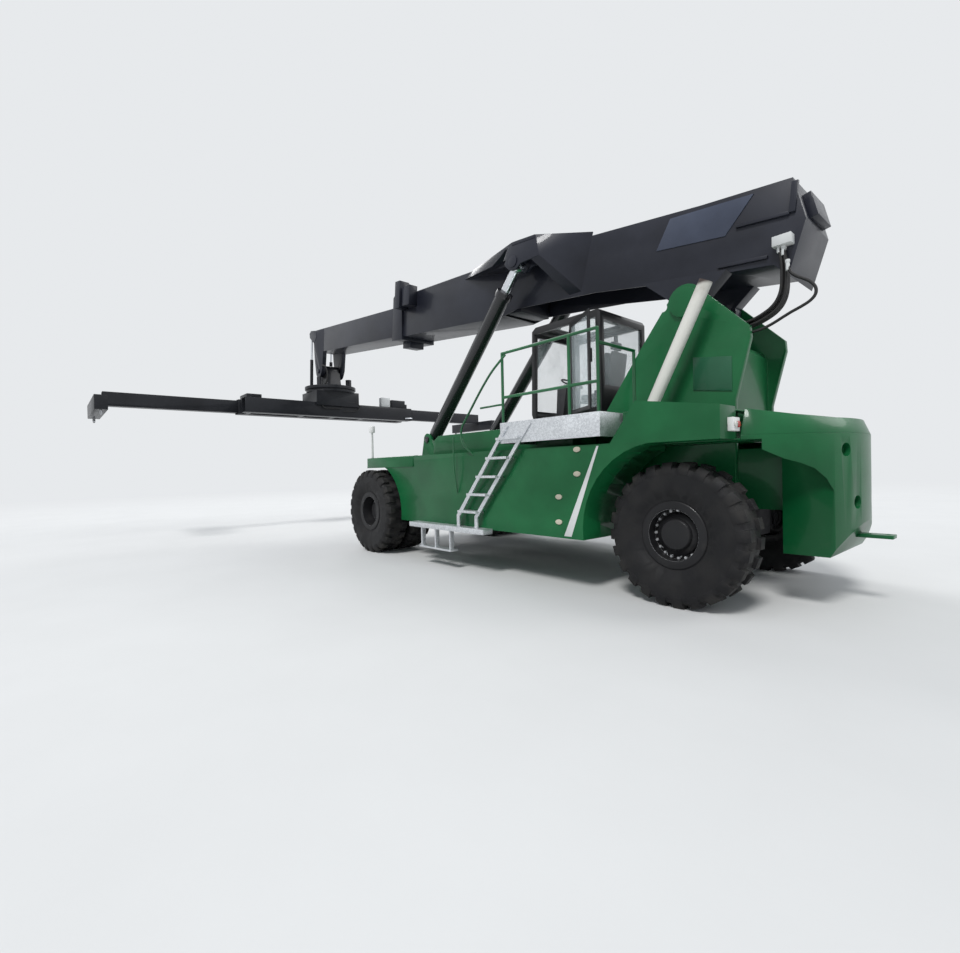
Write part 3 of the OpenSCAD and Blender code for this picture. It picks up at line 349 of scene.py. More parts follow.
def smooth_line(points, steps=4):
    """Points of one smooth curve through the points of a route."""
    points = [Vector(point) for point in points]
    padded = [2 * points[0] - points[1]] + points + [2 * points[-1] - points[-2]]
    line = []
    for p0, p1, p2, p3 in zip(padded, padded[1:], padded[2:], padded[3:]):
        for i in range(steps):
            t = i / steps
            line.append(0.5 * (2 * p1 + (p2 - p0) * t + (2 * p0 - 5 * p1 + 4 * p2 - p3) * t ** 2
                               + (3 * p1 - p0 - 3 * p2 + p3) * t ** 3))
    return line + [points[-1]]


TAIL_ROUTE = (
    (-0.800, 4.100), (-0.812, 4.020), (-0.822, 3.930), (-0.829, 3.840), (-0.829, 3.740), (-0.824, 3.640),
    (-0.806, 3.545), (-0.765, 3.460), (-0.700, 3.395), (-0.620, 3.350), (-0.540, 3.318), (-0.457, 3.296),
    (-0.370, 3.280), (-0.280, 3.270), (-0.190, 3.268), (-0.100, 3.272), (-0.020, 3.280), (0.062, 3.288),
)
LOOP_ROUTE = (
    (-0.860, 3.900), (-0.868, 3.830), (-0.900, 3.765), (-0.955, 3.710), (-1.025, 3.662), (-1.090, 3.605),
    (-1.130, 3.535), (-1.125, 3.462), (-1.070, 3.405), (-0.985, 3.365), (-0.890, 3.330), (-0.795, 3.288),
    (-0.700, 3.245), (-0.600, 3.212), (-0.490, 3.195), (-0.370, 3.190), (-0.250, 3.196), (-0.120, 3.205),
    (0.045, 3.222),
)
YOKE_ROUTE = (
    (12.050, 4.950), (11.985, 4.948), (11.920, 4.938), (11.850, 4.914), (11.780, 4.876), (11.720, 4.824),
    (11.675, 4.760), (11.648, 4.685), (11.640, 4.605), (11.650, 4.525), (11.680, 4.450), (11.730, 4.388),
    (11.795, 4.340), (11.870, 4.310), (11.950, 4.296), (12.040, 4.292),
)
# Each hose: name, route, distance to the left, shift along X and Z, diameter, the two bodies that hold it
TAIL_HOSES = [
    ("tail_hose_%d" % i, TAIL_ROUTE, 0.413 + 0.038 * (i % 3), 0.045 * (i // 3), 0.034, "boom", "chassis")
    for i in range(6)
] + [("tail_hose_loop", LOOP_ROUTE, 0.538, 0, 0.034, "boom", "chassis")]
YOKE_HOSES = [
    ("yoke_hose_%d" % i, YOKE_ROUTE, 0.427, 0.0165 * i, 0.022, "inner_boom", "yoke")
    for i in range(3)
]
hose_rubber = Finish("hose_rubber", Specular_IOR_Level=0.3)
hose_clouds = hose_rubber.grain(30, 4)
hose_rubber.colour(hose_rubber.mix(hose_clouds, (0.010, 0.010, 0.011, 1), (0.026, 0.025, 0.024, 1)))
hose_rubber.rough(0.45 + 0.2 * hose_rubber.grain(60, 3))
hose_rubber.bump(hose_rubber.grain(380, 2), 0.0004)
for name, route, left, shift, thick, upper, lower in TAIL_HOSES + YOKE_HOSES:
    line = smooth_line([spot(x + shift, left, z + shift) for x, z in route])
    hose = tube(name, line, thick / 2, bend=0)
    settle(hose, upper, hose_rubber)
    hose.parent = None
    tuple(line[12])
    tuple(line[-12])
    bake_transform(hose)
    length = sum((after - before).length for before, after in zip(line, line[1:]))
    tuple(line[0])

# Bodywork: chassis frame, tower, side bodies and hood are welded plate under a deep gloss green. Each solid
# is copied, its mesh is merged, and its edges are broken as a grinder leaves them.
MERGE_DISTANCE = 0.00002
FLAT_ANGLE = 1.5
GREEN = (0.003, 0.088, 0.026, 1)
DUST = (0.22, 0.21, 0.185, 1)


def dress(node, finish, edge, angle=EDGE_ANGLE):
    """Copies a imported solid, merges its mesh, breaks its edges and gives it a finish."""
    source = frame["nodes"][node]
    mesh = source.data.copy()
    piece = bpy.data.objects.new(node + "_finished", mesh)
    bpy.context.collection.objects.link(piece)
    mesh.transform(source.matrix_world)
    only(piece)
    bpy.ops.object.mode_set(mode="EDIT")
    bpy.ops.mesh.select_all(action="SELECT")
    bpy.ops.mesh.remove_doubles(threshold=MERGE_DISTANCE)
    bpy.ops.mesh.dissolve_limited(angle_limit=math.radians(FLAT_ANGLE))
    bpy.ops.object.mode_set(mode="OBJECT")
    break_edges(piece, edge, angle)
    settle(piece, body_of_node[node], finish, (node,))
    return piece


def paint(name, colour, roughness=0.30, coat=0.18, dust=0.22, peel=0.0005):
    """Sprayed paint: slight clouds in its tone, orange peel, dust on what faces up and splashes low down."""
    made = Finish(name, Metallic=0, Coat_Roughness=0.08, Specular_IOR_Level=0.20)
    clouds = made.grain(0.9, 5)
    lighter = tuple(min(1, c * 1.25 + 0.004) for c in colour[:3]) + (1,)
    darker = tuple(c * 0.8 for c in colour[:3]) + (1,)
    tone = made.mix(clouds.ramp(0.3, 0.7), darker, lighter)
    speckle = made.grain(38, 4, rough=0.7).ramp(0.42, 0.72)
    settled = made.upward() * (0.35 + 0.65 * clouds.ramp(0.35, 0.65)) * speckle * dust
    splash = made.axis("Z").ramp(1.5, 0.45) * made.grain(7, 5).ramp(0.45, 0.75) * dust * 0.55
    dirt = (settled + splash).ramp(0, 1)
    made.colour(made.mix(dirt, tone, DUST))
    made.rough(roughness + 0.10 * made.grain(3.2, 4) + 0.45 * dirt)
    made.feed(made.shader.inputs["Coat Weight"], coat * (1 - dirt))
    made.bump(made.grain(120, 2) + 0.6 * made.grain(9, 2), peel)
    return made


green_paint = paint("green_paint", GREEN)
for node in ("chassis_frame", "tower", "side_body_left", "side_body_right", "hood"):
    dress(node, green_paint, edge=0.008)

# Deck: a steel floor plate closes the space beside the tower over each rear wheel. It lies between the tower
# and the side body and is painted as they are.
SIDES = ((-1, "right"), (1, "left"))
DECK_X = (-0.65, 0.70)
DECK_Y = (0.645, 1.478)
DECK_Z = (1.875, 1.895)


def both(side, near, far):
    """Two distances from the machine's middle on one side of it, the lower first."""
    return sorted((side * near, side * far))


def wrap(name, points):
    """Smallest solid without hollows round some points."""
    shape = bmesh.new()
    for point in points:
        shape.verts.new(point)
    hull = bmesh.ops.convex_hull(shape, input=shape.verts)
    inside = [part for part in hull["geom_interior"] if isinstance(part, bmesh.types.BMVert)]
    bmesh.ops.delete(shape, geom=inside, context="VERTS")
    bmesh.ops.dissolve_limit(shape, angle_limit=0.01, verts=shape.verts, edges=shape.edges)
    return add_mesh(name, shape)


def box(name, low, high):
    """Block between two corners given from the rear axle, the machine's middle and the ground."""
    across_x, across_y, across_z = zip(spot(*low), spot(*high))
    return wrap(name, [(x, y, z) for x in across_x for y in across_y for z in across_z])


for side, name in SIDES:
    low, high = zip(DECK_X, both(side, *DECK_Y), DECK_Z)
    deck = box("deck_floor_" + name, low, high)
    break_edges(deck, 0.003)
    settle(deck, "chassis", green_paint)

# Counterweight: one heavy casting, round in plan, with a bevel round its top, wells for the rear wheels and
# two round cleaning recesses a side. It closes round the frame's rear end and carries the tow lug below.
CAST_CENTRE_X = 0.10
CAST_RADIUS = 1.57
CAST_TOP_RADIUS = 1.45
CAST_FOOT_Z = 0.5
CAST_BEVEL_Z = 1.93
CAST_BEVEL_HEIGHT = 0.31
CAST_HALF = 1.6
CAST_FACETS = 128
CAST_OUTLINE = ((-1.27, 0.60), (-0.82, 0.60), (-0.82, 1.88), (-0.65, 1.88), (-0.65, 2.22), (-1.04, 2.14),
                (-1.30, 2.10), (-1.60, 2.095), (-1.60, 1.194))
WHEEL_WELL = ((0.3, 0.50), (0.3, 1.91), (-0.588, 1.91), (-0.863, 1.744), (-0.986, 1.667), (-1.103, 1.619),
              (-1.195, 1.558), (-1.266, 1.452), (-1.307, 1.331), (-1.331, 1.151), (-1.345, 0.777),
              (-1.345, 0.50))
WELL_Y = (0.68, 1.8)
# Each recess: its direction from the casting's centre in degrees, and its height
RECESSES = ((161, 1.75), (168.5, 1.18))
RECESS_RADIUS = 0.0725
RECESS_DEPTH = 0.07
FRAME_SLOT = ((-1.12, -0.5603, 0.5), (-0.5, 0.5603, 2.3))
TOW_PLATE = ((-1.70, 0.77), (-1.22, 0.77), (-1.22, 0.81), (-1.70, 0.81))
TOW_HALF = 0.09
TOW_HOLE_X = -1.64
TOW_HOLE_RADIUS = 0.025
UP = (0, 0, 1)


def slab(name, outline, near, far, place=None):
    """Plate or block: an outline of (x, z) points from the rear axle, drawn out across the machine."""
    place = place or (lambda x, z: (rear_axle.x + x, z))
    corners = [place(x, z) for x, z in outline]
    shape = bmesh.new()
    first, second = [[shape.verts.new((x, y, z)) for x, z in corners] for y in (near, far)]
    shape.faces.new(first)
    shape.faces.new(second)
    for i in range(len(corners)):
        shape.faces.new((first[i - 1], first[i], second[i], second[i - 1]))
    return add_mesh(name, shape)


def drum(name, centre, direction, radius, length, facets=32, tip=None):
    """Round bar, disc or cone that starts at a centre and runs along a direction."""
    tip = radius if tip is None else tip
    turn = Vector(direction).to_track_quat("Z", "Y").to_matrix().to_4x4()
    place = Matrix.Translation(Vector(centre)) @ turn @ Matrix.Translation((0, 0, length / 2))
    shape = bmesh.new()
    bmesh.ops.create_cone(shape, cap_ends=True, segments=facets, radius1=radius, radius2=tip, depth=length,
                          matrix=place)
    return add_mesh(name, shape)


def carve(piece, cutter, operation="DIFFERENCE"):
    """Cuts, joins or trims a piece with a second one, which is used up."""
    only(piece)
    cut = piece.modifiers.new("cut", "BOOLEAN")
    cut.object = cutter
    cut.operation = operation
    cut.solver = "EXACT"
    bpy.ops.object.modifier_apply(modifier="cut")
    bpy.data.objects.remove(cutter)


def join(name, pieces):
    """Joins several pieces of one body into one."""
    only(pieces[0])
    for piece in pieces[1:]:
        piece.select_set(True)
    if len(pieces) > 1:
        bpy.ops.object.join()
    pieces[0].name = name
    return pieces[0]


casting = slab("casting", CAST_OUTLINE, -CAST_HALF, CAST_HALF)
column = drum("column", spot(CAST_CENTRE_X, 0, CAST_FOOT_Z), UP, CAST_RADIUS, CAST_BEVEL_Z - CAST_FOOT_Z,
              facets=CAST_FACETS)
top_bevel = drum("top_bevel", spot(CAST_CENTRE_X, 0, CAST_BEVEL_Z), UP, CAST_RADIUS, CAST_BEVEL_HEIGHT,
                 facets=CAST_FACETS, tip=CAST_TOP_RADIUS)
carve(column, top_bevel, "UNION")
carve(casting, column, "INTERSECT")
for side, name in SIDES:
    carve(casting, slab("well", WHEEL_WELL, *both(side, *WELL_Y)))
    for degrees, height in RECESSES:
        turn = math.radians(degrees)
        out = Vector((math.cos(turn), side * math.sin(turn), 0))
        start = Vector(spot(CAST_CENTRE_X, 0, height)) + out * (CAST_RADIUS - RECESS_DEPTH)
        carve(casting, drum("recess", start, out, RECESS_RADIUS, 0.2))
carve(casting, box("frame_slot", *FRAME_SLOT))
break_edges(casting, 0.014, 20)
tow_plate = slab("tow_plate", TOW_PLATE, -TOW_HALF, TOW_HALF)
carve(tow_plate, drum("tow_hole", spot(TOW_HOLE_X, 0, 0.7), UP, TOW_HOLE_RADIUS, 0.2))
break_edges(tow_plate, 0.006)
whole = join("counterweight_finished", [casting, tow_plate])
settle(whole, body_of_node["counterweight"], green_paint, ("counterweight",))

# Boom: the outer and inner boom, their head and the boxes on them are welded from plate and sprayed in a
# blue-black semi-gloss paint. On each side, fairings run out to the two ears that hold a lift cylinder's rod.
ANTHRACITE = (0.012, 0.0135, 0.021, 1)
boom_paint = paint("boom_paint", ANTHRACITE, roughness=0.36, coat=0.2, dust=0.22, peel=0.0007)
for node in ("inner_boom", "boom_head", "boom_fittings"):
    dress(node, boom_paint, edge=0.005)
BOOM_PIVOT = Vector((rear_axle.x + 0.3, 3.73))
BOOM_SLOPE = math.radians(6.2)
WING_TOP = 1.385
WING_FOOT_Y = 0.425
WING_TIP_Y = 0.945
PLAIN_WING = ((2.25, 0.85), (3.55, 0.85), (3.55, 1.60), (2.25, 1.60))
PLAIN_WING_Y = (0.4315, 1.2)
REAR_FOOT = ((1.86, 0.50), (2.10, 0.48), (2.46, 1.0), (2.46, WING_TOP), (1.71, WING_TOP))
REAR_TIP = ((2.35, 1.04), (2.54, 1.03), (2.54, WING_TOP), (2.46, WING_TOP))
FRONT_FOOT = ((2.99, 1.13), (3.30, 1.13), (3.85, 1.16), (4.88, 1.245), (4.88, 1.25), (2.99, WING_TOP),
              (4.6, WING_TOP))
FRONT_TIP = ((2.99, 1.13), (3.12, 1.13), (3.0, WING_TOP))
ROD_SLOT = ((2.6, 0.85), (3.85, 0.85), (3.85, 1.10), (3.36, 1.25), (3.20, 1.33), (2.6, 1.33))
ROD_SLOT_Y = (0.68, 0.92)
WING_ROOF = ((2.46, 1.33), (2.99, 1.33), (2.99, WING_TOP), (2.46, WING_TOP))
WING_ROOF_Y = (0.425, 0.955)
EAR = ((2.46, WING_TOP), (2.35, 1.04), (2.76, 1.0), (2.86, 0.93), (3.02, 0.93), (3.12, 1.01), (3.15, 1.06),
       (2.99, WING_TOP))
EAR_PLACES = ((0.655, 0.688), (0.912, 0.948))
EAR_PIN = (2.94, 1.06)
BOSS_Y = 0.94
BOSS_RADIUS = 0.095
BOSS_LENGTH = 0.027


def on_boom(a, b):
    """Place of a point that lies a along the boom from its pivot and b above the line of its pivot."""
    return (BOOM_PIVOT.x + a * math.cos(BOOM_SLOPE) - b * math.sin(BOOM_SLOPE),
            BOOM_PIVOT.y + a * math.sin(BOOM_SLOPE) + b * math.cos(BOOM_SLOPE))


def boom_slab(name, outline, near, far):
    """Plate or block whose outline is given along the boom."""
    return slab(name, outline, near, far, on_boom)


def boom_wrap(name, inner, inner_y, outer, outer_y):
    """Smallest solid round two outlines, one at each distance from the boom's middle."""
    spots = [(on_boom(a, b), inner_y) for a, b in inner] + [(on_boom(a, b), outer_y) for a, b in outer]
    return wrap(name, [(x, y, z) for (x, z), y in spots])


def assemble(name, pieces, edge):
    """Breaks the edges of several pieces and joins them into one."""
    for piece in pieces:
        break_edges(piece, edge)
    return join(name, pieces)


outer_boom = dress("outer_boom", boom_paint, edge=0.005)
pin_x, pin_z = on_boom(*EAR_PIN)
for side, name in SIDES:
    carve(outer_boom, boom_slab("plain_wing", PLAIN_WING, *both(side, *PLAIN_WING_Y)))
    rear = boom_wrap("rear_fairing", REAR_FOOT, side * WING_FOOT_Y, REAR_TIP, side * WING_TIP_Y)
    front = boom_wrap("front_fairing", FRONT_FOOT, side * WING_FOOT_Y, FRONT_TIP, side * WING_TIP_Y)
    carve(front, boom_slab("rod_slot", ROD_SLOT, *both(side, *ROD_SLOT_Y)))
    roof = boom_slab("wing_roof", WING_ROOF, *both(side, *WING_ROOF_Y))
    boss = drum("pin_boss", (pin_x, side * BOSS_Y, pin_z), (0, side, 0), BOSS_RADIUS, BOSS_LENGTH)
    ears = [boom_slab("ear", EAR, *both(side, near, far)) for near, far in EAR_PLACES]
    wing = assemble("wing_" + name, [rear, front, roof, boss] + ears, 0.006)
    settle(wing, "boom", boom_paint)

# Spreader and yoke: welded box beams and forgings under a flat black paint, dustier than the boom's. The arms
# slide out of the main frame, which hangs from the boom's head by the slew table and the yoke.
SPREADER_BLACK = (0.010, 0.011, 0.014, 1)
spreader_paint = paint("spreader_paint", SPREADER_BLACK, roughness=0.40, coat=0.15, dust=0.28, peel=0.0008)
SPREADER_NODES = ("yoke", "slew_table", "spreader_frame", "spreader_drive", "arm_left", "arm_right",
                  "damper_barrels")
for node in SPREADER_NODES:
    dress(node, spreader_paint, edge=0.004)

# Lift cylinders: steel barrels under black gloss paint, with hard-chromed rods pinned to the boom's ears. The
# small dampers of the yoke have chromed rods too.
barrel_paint = paint("barrel_paint", (0.012, 0.012, 0.014, 1), roughness=0.22, coat=0.7, dust=0.25)
chrome = Finish("rod_chrome", Metallic=1.0, Base_Color=(0.72, 0.74, 0.77, 1))
wiped = chrome.grain(2.0, 3, stretch=(6, 6, 0.6))
chrome.rough(0.06 + 0.16 * wiped)
chrome.colour(chrome.mix(wiped, (0.62, 0.64, 0.67, 1), (0.80, 0.82, 0.85, 1)))
chrome.bump(chrome.grain(240, 2), 0.0001, 0.4)
for side in ("left", "right"):
    dress("barrel_" + side, barrel_paint, edge=0.003)
    dress("rod_" + side, chrome, edge=0.002)
dress("damper_rods", chrome, edge=0.001)

# Axles, knuckles and engine: the axles and knuckles are steel under a satin black paint with road film. The
# engine is grey cast iron, dark and shiny where oil has spread.
axle_paint = paint("axle_paint", (0.012, 0.012, 0.014, 1), roughness=0.5, coat=0.05, dust=0.6, peel=0.0012)
for node in ("front_axle", "rear_axle", "knuckle_left", "knuckle_right"):
    dress(node, axle_paint, edge=0.004)
iron = Finish("engine_iron", Metallic=0.2)
oil = iron.grain(2.5, 5).ramp(0.45, 0.65)
iron.colour(iron.mix(oil, (0.16, 0.165, 0.17, 1), (0.05, 0.048, 0.045, 1)))
iron.rough(0.65 - 0.3 * oil)
iron.bump(iron.grain(90, 4), 0.002)
dress("engine", iron, edge=0.012)

# Rims: pressed steel in satin black, held by a ring of nuts. The small faces inside that ring are the nuts,
# and they have a bright zinc finish.
rim_paint = paint("rim_paint", (0.008, 0.008, 0.009, 1), roughness=0.42, coat=0.1, dust=0.3)
RIMS = ("rims_front_left", "rims_front_right", "rim_rear_left", "rim_rear_right")
NUT_RING = (0.255, 0.296)
NUT_FACE = 0.0008
nut_zinc = Finish("nut_zinc", Metallic=0.7)
nut_zinc.colour(nut_zinc.mix(nut_zinc.grain(60, 3), (0.42, 0.43, 0.44, 1), (0.66, 0.67, 0.68, 1)))
nut_zinc.rough(0.35 + 0.25 * nut_zinc.grain(40, 3))
for node in RIMS:
    rim = dress(node, rim_paint, edge=0.003)
    low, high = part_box(node)
    hub = Vector(((low.x + high.x) / 2, 0, (low.z + high.z) / 2))
    rim.data.materials.append(nut_zinc.material)
    for face in rim.data.polygons:
        out = math.hypot(face.center.x - hub.x, face.center.z - hub.z)
        if NUT_RING[0] < out < NUT_RING[1] and face.area < NUT_FACE:
            face.material_index = 1

# Tyres: black rubber with deep tread blocks, dustiest on the tread. Fine rings run round the side walls, as
# the mould leaves them.
TREAD_RADII = (0.70, 0.82)
MOULD_RINGS = 520
TYRES = ("tyres_front_left", "tyres_front_right", "tyre_rear_left", "tyre_rear_right")
for node in TYRES:
    low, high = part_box(node)
    hub = Vector(((low.x + high.x) / 2, 0, (low.z + high.z) / 2))
    rubber = Finish(node + "_rubber", Specular_IOR_Level=0.22)
    along_x = rubber.axis("X", hub)
    along_z = rubber.axis("Z", hub)
    radius = (along_x * along_x + along_z * along_z) ** 0.5
    tread = radius.ramp(*TREAD_RADII)
    film = rubber.grain(5, 6).ramp(0.35, 0.7) * (0.25 + 0.75 * tread)
    rubber.colour(rubber.mix(film * 0.55, (0.008, 0.008, 0.009, 1), (0.050, 0.047, 0.042, 1)))
    rubber.rough(0.55 + 0.3 * film)
    rings = radius.maths("SINE", radius * MOULD_RINGS, 0) * (1 - tread)
    rubber.bump(0.25 * rings + rubber.grain(160, 3), 0.0012)
    dress(node, rubber, edge=0.010, angle=40)

# Access: the platforms, ladders and low steps are hot-dip galvanised steel with a fine spangle. The railings
# are steel tube in green paint.
zinc = Finish("zinc", Metallic=0.85)
spangle = zinc.cells(70, "Color")
tint = zinc.node("ShaderNodeSeparateColor", sockets={0: spangle}, output=0)
stain = zinc.grain(3, 5).ramp(0.5, 0.75)
zinc.colour(zinc.mix(tint, (0.52, 0.54, 0.56, 1), (0.72, 0.74, 0.76, 1)))
zinc.rough(0.32 + 0.18 * tint + 0.25 * stain)
zinc.bump(tint + 2 * zinc.grain(30, 3), 0.0006)
dress("access_steps", zinc, edge=0.003)
tube_paint = paint("tube_paint", GREEN, roughness=0.25, coat=0.7, dust=0.15)
dress("railings", tube_paint, edge=0.002)

# Collar and tail of the boom: a welded collar stiffens the mouth of the outer boom. Overlay plates in a
# lighter blue-grey and ribs stiffen the tail's sides.
COLLAR = ((7.13, 0.275), (7.575, 0.275), (7.575, 1.30), (7.50, 1.365), (7.20, 1.365))
COLLAR_HALF = 0.470
COLLAR_MOUTH = ((6.9, 0.352), (7.8, 0.352), (7.8, 1.298), (6.9, 1.298))
MOUTH_HALF = 0.428
OVERLAY = ((-0.65, 1.22), (-0.35, 0.80), (0.59, 0.83), (0.42, 1.22))
OVERLAY_Y = (0.425, 0.441)
TAIL_RIBS = (
    ((-1.07, 0.86), (-0.48, 0.86), (-0.48, 0.90), (-1.07, 0.90)),
    ((-0.88, 0.41), (-0.30, 0.41), (-0.30, 0.45), (-0.88, 0.45)),
    ((-1.13, 0.88), (-1.06, 0.88), (-1.06, 1.22), (-1.13, 1.22)),
)
RIB_Y = (0.42, 0.462)
overlay_paint = paint("overlay_paint", (0.045, 0.055, 0.085, 1), roughness=0.32, coat=0.3, dust=0.12)
collar = boom_slab("collar", COLLAR, -COLLAR_HALF, COLLAR_HALF)
carve(collar, boom_slab("mouth", COLLAR_MOUTH, -MOUTH_HALF, MOUTH_HALF))
break_edges(collar, 0.006)
settle(collar, "boom", boom_paint)
for side, name in SIDES:
    overlay = boom_slab("tail_overlay_" + name, OVERLAY, *both(side, *OVERLAY_Y))
    break_edges(overlay, 0.003)
    settle(overlay, "boom", overlay_paint)
    ribs = [boom_slab("rib", outline, *both(side, *RIB_Y)) for outline in TAIL_RIBS]
    settle(assemble("tail_ribs_" + name, ribs, 0.004), "boom", boom_paint)

# Valve block and manifold: two steel blocks in pale paint at the two ends of the tail hoses. Each hose has a
# hexagon union and a crimped sleeve there.
VALVE_BLOCK = ((-0.90, 0.386, 4.12), (-0.70, 0.55, 4.235))
MANIFOLD = ((0.06, 0.36, 3.14), (0.14, 0.555, 3.37))
pale_paint = paint("pale_paint", (0.52, 0.53, 0.52, 1), roughness=0.4, coat=0.2, dust=0.15)


def hose_end(name, end, direction, hose_radius):
    """Hexagon union with a round crimped sleeve over the hose's end."""
    size = hose_radius + 0.004
    nut = drum(name, Vector(end) - Vector(direction) * 0.03, direction, size * 1.25, 0.035, facets=6)
    sleeve = drum(name, end, direction, size * 0.98, 0.09, facets=20)
    return assemble(name, [nut, sleeve], 0.002)


valves = [box("valve_block", *VALVE_BLOCK)]
manifold = [box("manifold", *MANIFOLD)]
for block in valves + manifold:
    break_edges(block, 0.006)
for name, route, left, shift, thick, upper, lower in TAIL_HOSES:
    (start_x, start_z), (end_x, end_z) = route[0], route[-1]
    start = spot(start_x + shift, left, start_z + shift)
    end = spot(end_x + shift, left, end_z + shift)
    valves.append(hose_end("upper_union", start, (0, 0, -1), thick / 2))
    manifold.append(hose_end("lower_union", end, (-1, 0, 0), thick / 2))
settle(join("tail_valves", valves), "boom", pale_paint)
settle(join("tower_manifold", manifold), "chassis", pale_paint)

# Fender bevels: a folded steel strip runs along the outer top edge of each front fender and is painted with
# the bodywork. Its fold is given in (y, z) points.
FENDER_ENDS = (4.87, 6.585)
FENDER_FOLD = ((1.872, 1.70), (1.885, 1.70), (1.760, 1.915), (1.760, 1.901), (1.872, 1.901))
for side, name in SIDES:
    corners = [spot(x, side * y, z) for x in FENDER_ENDS for y, z in FENDER_FOLD]
    strip = wrap("fender_bevel_" + name, corners)
    break_edges(strip, 0.004)
    settle(strip, "chassis", green_paint)

# Pivot flanges: a round steel plate with eight small bolts closes each end of the boom's pivot on the tower.
# Plate and bolts are painted with the bodywork.
FLANGE_Y = 0.645
FLANGE_RADIUS = 0.19
FLANGE_THICKNESS = 0.022
BOLT_Y = 0.660
BOLT_RING = 0.145
BOLT_RADIUS = 0.013
BOLT_LENGTH = 0.018
for side, name in SIDES:
    out = (0, side, 0)
    centre = (BOOM_PIVOT.x, side * FLANGE_Y, BOOM_PIVOT.y)
    parts = [drum("flange", centre, out, FLANGE_RADIUS, FLANGE_THICKNESS, facets=64)]
    for degrees in range(0, 360, 45):
        turn = math.radians(degrees)
        centre = (BOOM_PIVOT.x + BOLT_RING * math.cos(turn), side * BOLT_Y,
                  BOOM_PIVOT.y + BOLT_RING * math.sin(turn))
        parts.append(drum("bolt", centre, out, BOLT_RADIUS, BOLT_LENGTH, facets=6))
    settle(assemble("pivot_flange_" + name, parts, 0.002), "chassis", green_paint)

# Side body fittings: oval door latches and a thin white stripe ahead of each rear arch on the side bodies,
# and a hatch plate on each side of the tower.
LATCHES = ((1.125, 1.850), (1.130, 1.540), (1.435, 1.240), (1.440, 0.910))
LATCH_Y = 1.869
LATCH_RADIUS = 0.034
LATCH_LENGTH = 0.016
LATCH_STRETCH = 1.6
STRIPE = ((0.80, 1.88), (1.24, 0.73), (1.36, 0.73), (0.83, 1.88))
STRIPE_Y = (1.866, 1.8725)
HATCH = ((-0.28, 2.51), (0.20, 2.58), (0.20, 3.00), (-0.28, 2.93))
HATCH_Y = (0.638, 0.652)
beige = paint("latch_beige", (0.42, 0.39, 0.31, 1), roughness=0.5, coat=0.05, dust=0.1)
hatch_paint = paint("hatch_paint", (0.010, 0.075, 0.035, 1), roughness=0.35, coat=0.3, dust=0.15)
for side, name in SIDES:
    latches = []
    for x, z in LATCHES:
        centre = Vector(spot(x, side * LATCH_Y, z))
        latch = drum("latch", centre, (0, side, 0), LATCH_RADIUS, LATCH_LENGTH)
        for vertex in latch.data.vertices:
            vertex.co.x = centre.x + (vertex.co.x - centre.x) * LATCH_STRETCH
        latches.append(latch)
    settle(assemble("latches_" + name, latches, 0.004), "chassis", beige)
    stripe = slab("arch_stripe_" + name, STRIPE, *both(side, *STRIPE_Y))
    break_edges(stripe, 0.001)
    settle(stripe, "chassis", pale_paint)
    hatch = slab("tower_hatch_" + name, HATCH, *both(side, *HATCH_Y))
    break_edges(hatch, 0.004)
    settle(hatch, "chassis", hatch_paint)

# Handrails: a bent tube runs from the platform's rail down to the fender on each side, with a thin upright
# tube and a low rail. Each line holds a bend, a radius and points: x, distance from the machine's middle, z.
HANDRAILS = (
    (0.14, 0.017, ((2.35, 1.915, 3.27), (2.60, 1.96, 3.06), (2.85, 1.96, 2.82), (3.36, 1.96, 2.26),
                   (3.31, 1.96, 2.02), (3.17, 1.86, 1.85))),
    (0.10, 0.011, ((3.54, 1.96, 2.16), (3.555, 1.96, 1.70), (3.57, 1.885, 1.25))),
    (0.08, 0.015, ((2.86, 1.96, 2.55), (2.48, 1.93, 2.56), (2.42, 1.90, 2.56))),
)
for side, name in SIDES:
    rails = [tube("rail", [spot(x, side * y, z) for x, y, z in points], radius, bend)
             for bend, radius, points in HANDRAILS]
    settle(join("handrail_" + name, rails), "chassis", tube_paint)

# Cab: a black steel shell with a hinged door and glued panes of clear glass that is a little smeared. The
# console is moulded plastic with a fine grain.
cab_paint = paint("cab_paint", (0.012, 0.012, 0.013, 1), roughness=0.35, coat=0.3, dust=0.3)
for node in ("cab_shell", "cab_door"):
    dress(node, cab_paint, edge=0.008)
glass = Finish("cab_glass", Base_Color=(0.78, 0.86, 0.87, 1), Roughness=0.03, Alpha=0.22, IOR=1.5)
smear = glass.grain(2.2, 5).ramp(0.45, 0.8)
glass.rough(0.02 + 0.10 * smear)
glass.feed(glass.shader.inputs["Alpha"], 0.16 + 0.10 * smear)
for node in ("cab_glass", "door_glass"):
    dress(node, glass, edge=0)
plastic = Finish("cab_plastic")
plastic.colour(plastic.mix(plastic.grain(14, 4), (0.022, 0.022, 0.024, 1), (0.038, 0.038, 0.041, 1)))
plastic.rough(0.55 + 0.15 * plastic.grain(30, 3))
plastic.bump(plastic.cells(420), 0.0006)
dress("console", plastic, edge=0.008)

# Seat: three foam cushions in woven fabric on a pan and a back shell, over folded bellows. Each cushion is
# swelled by a cloth simulation, and its two sewn channels are pressed in afterwards.
fabric = Finish("seat_fabric", Sheen_Weight=0.3)
weave = fabric.cells(260)
fabric.colour(fabric.mix(weave, (0.030, 0.032, 0.036, 1), (0.062, 0.064, 0.070, 1)))
fabric.rough(0.85 + 0.1 * weave)
fabric.bump(weave, 0.0010)
SEAT_FLOOR = 2.44
CUSHION_SWELL = 0.010
CUSHION_ROUND = 0.28
CUSHION_PRESSURE = 4
SIMULATED_FRAMES = 20
VOXEL = 0.008
CHANNEL_DEPTH = 0.008
CHANNEL_WIDTH = 0.007
CHANNEL_PLACE = 0.28
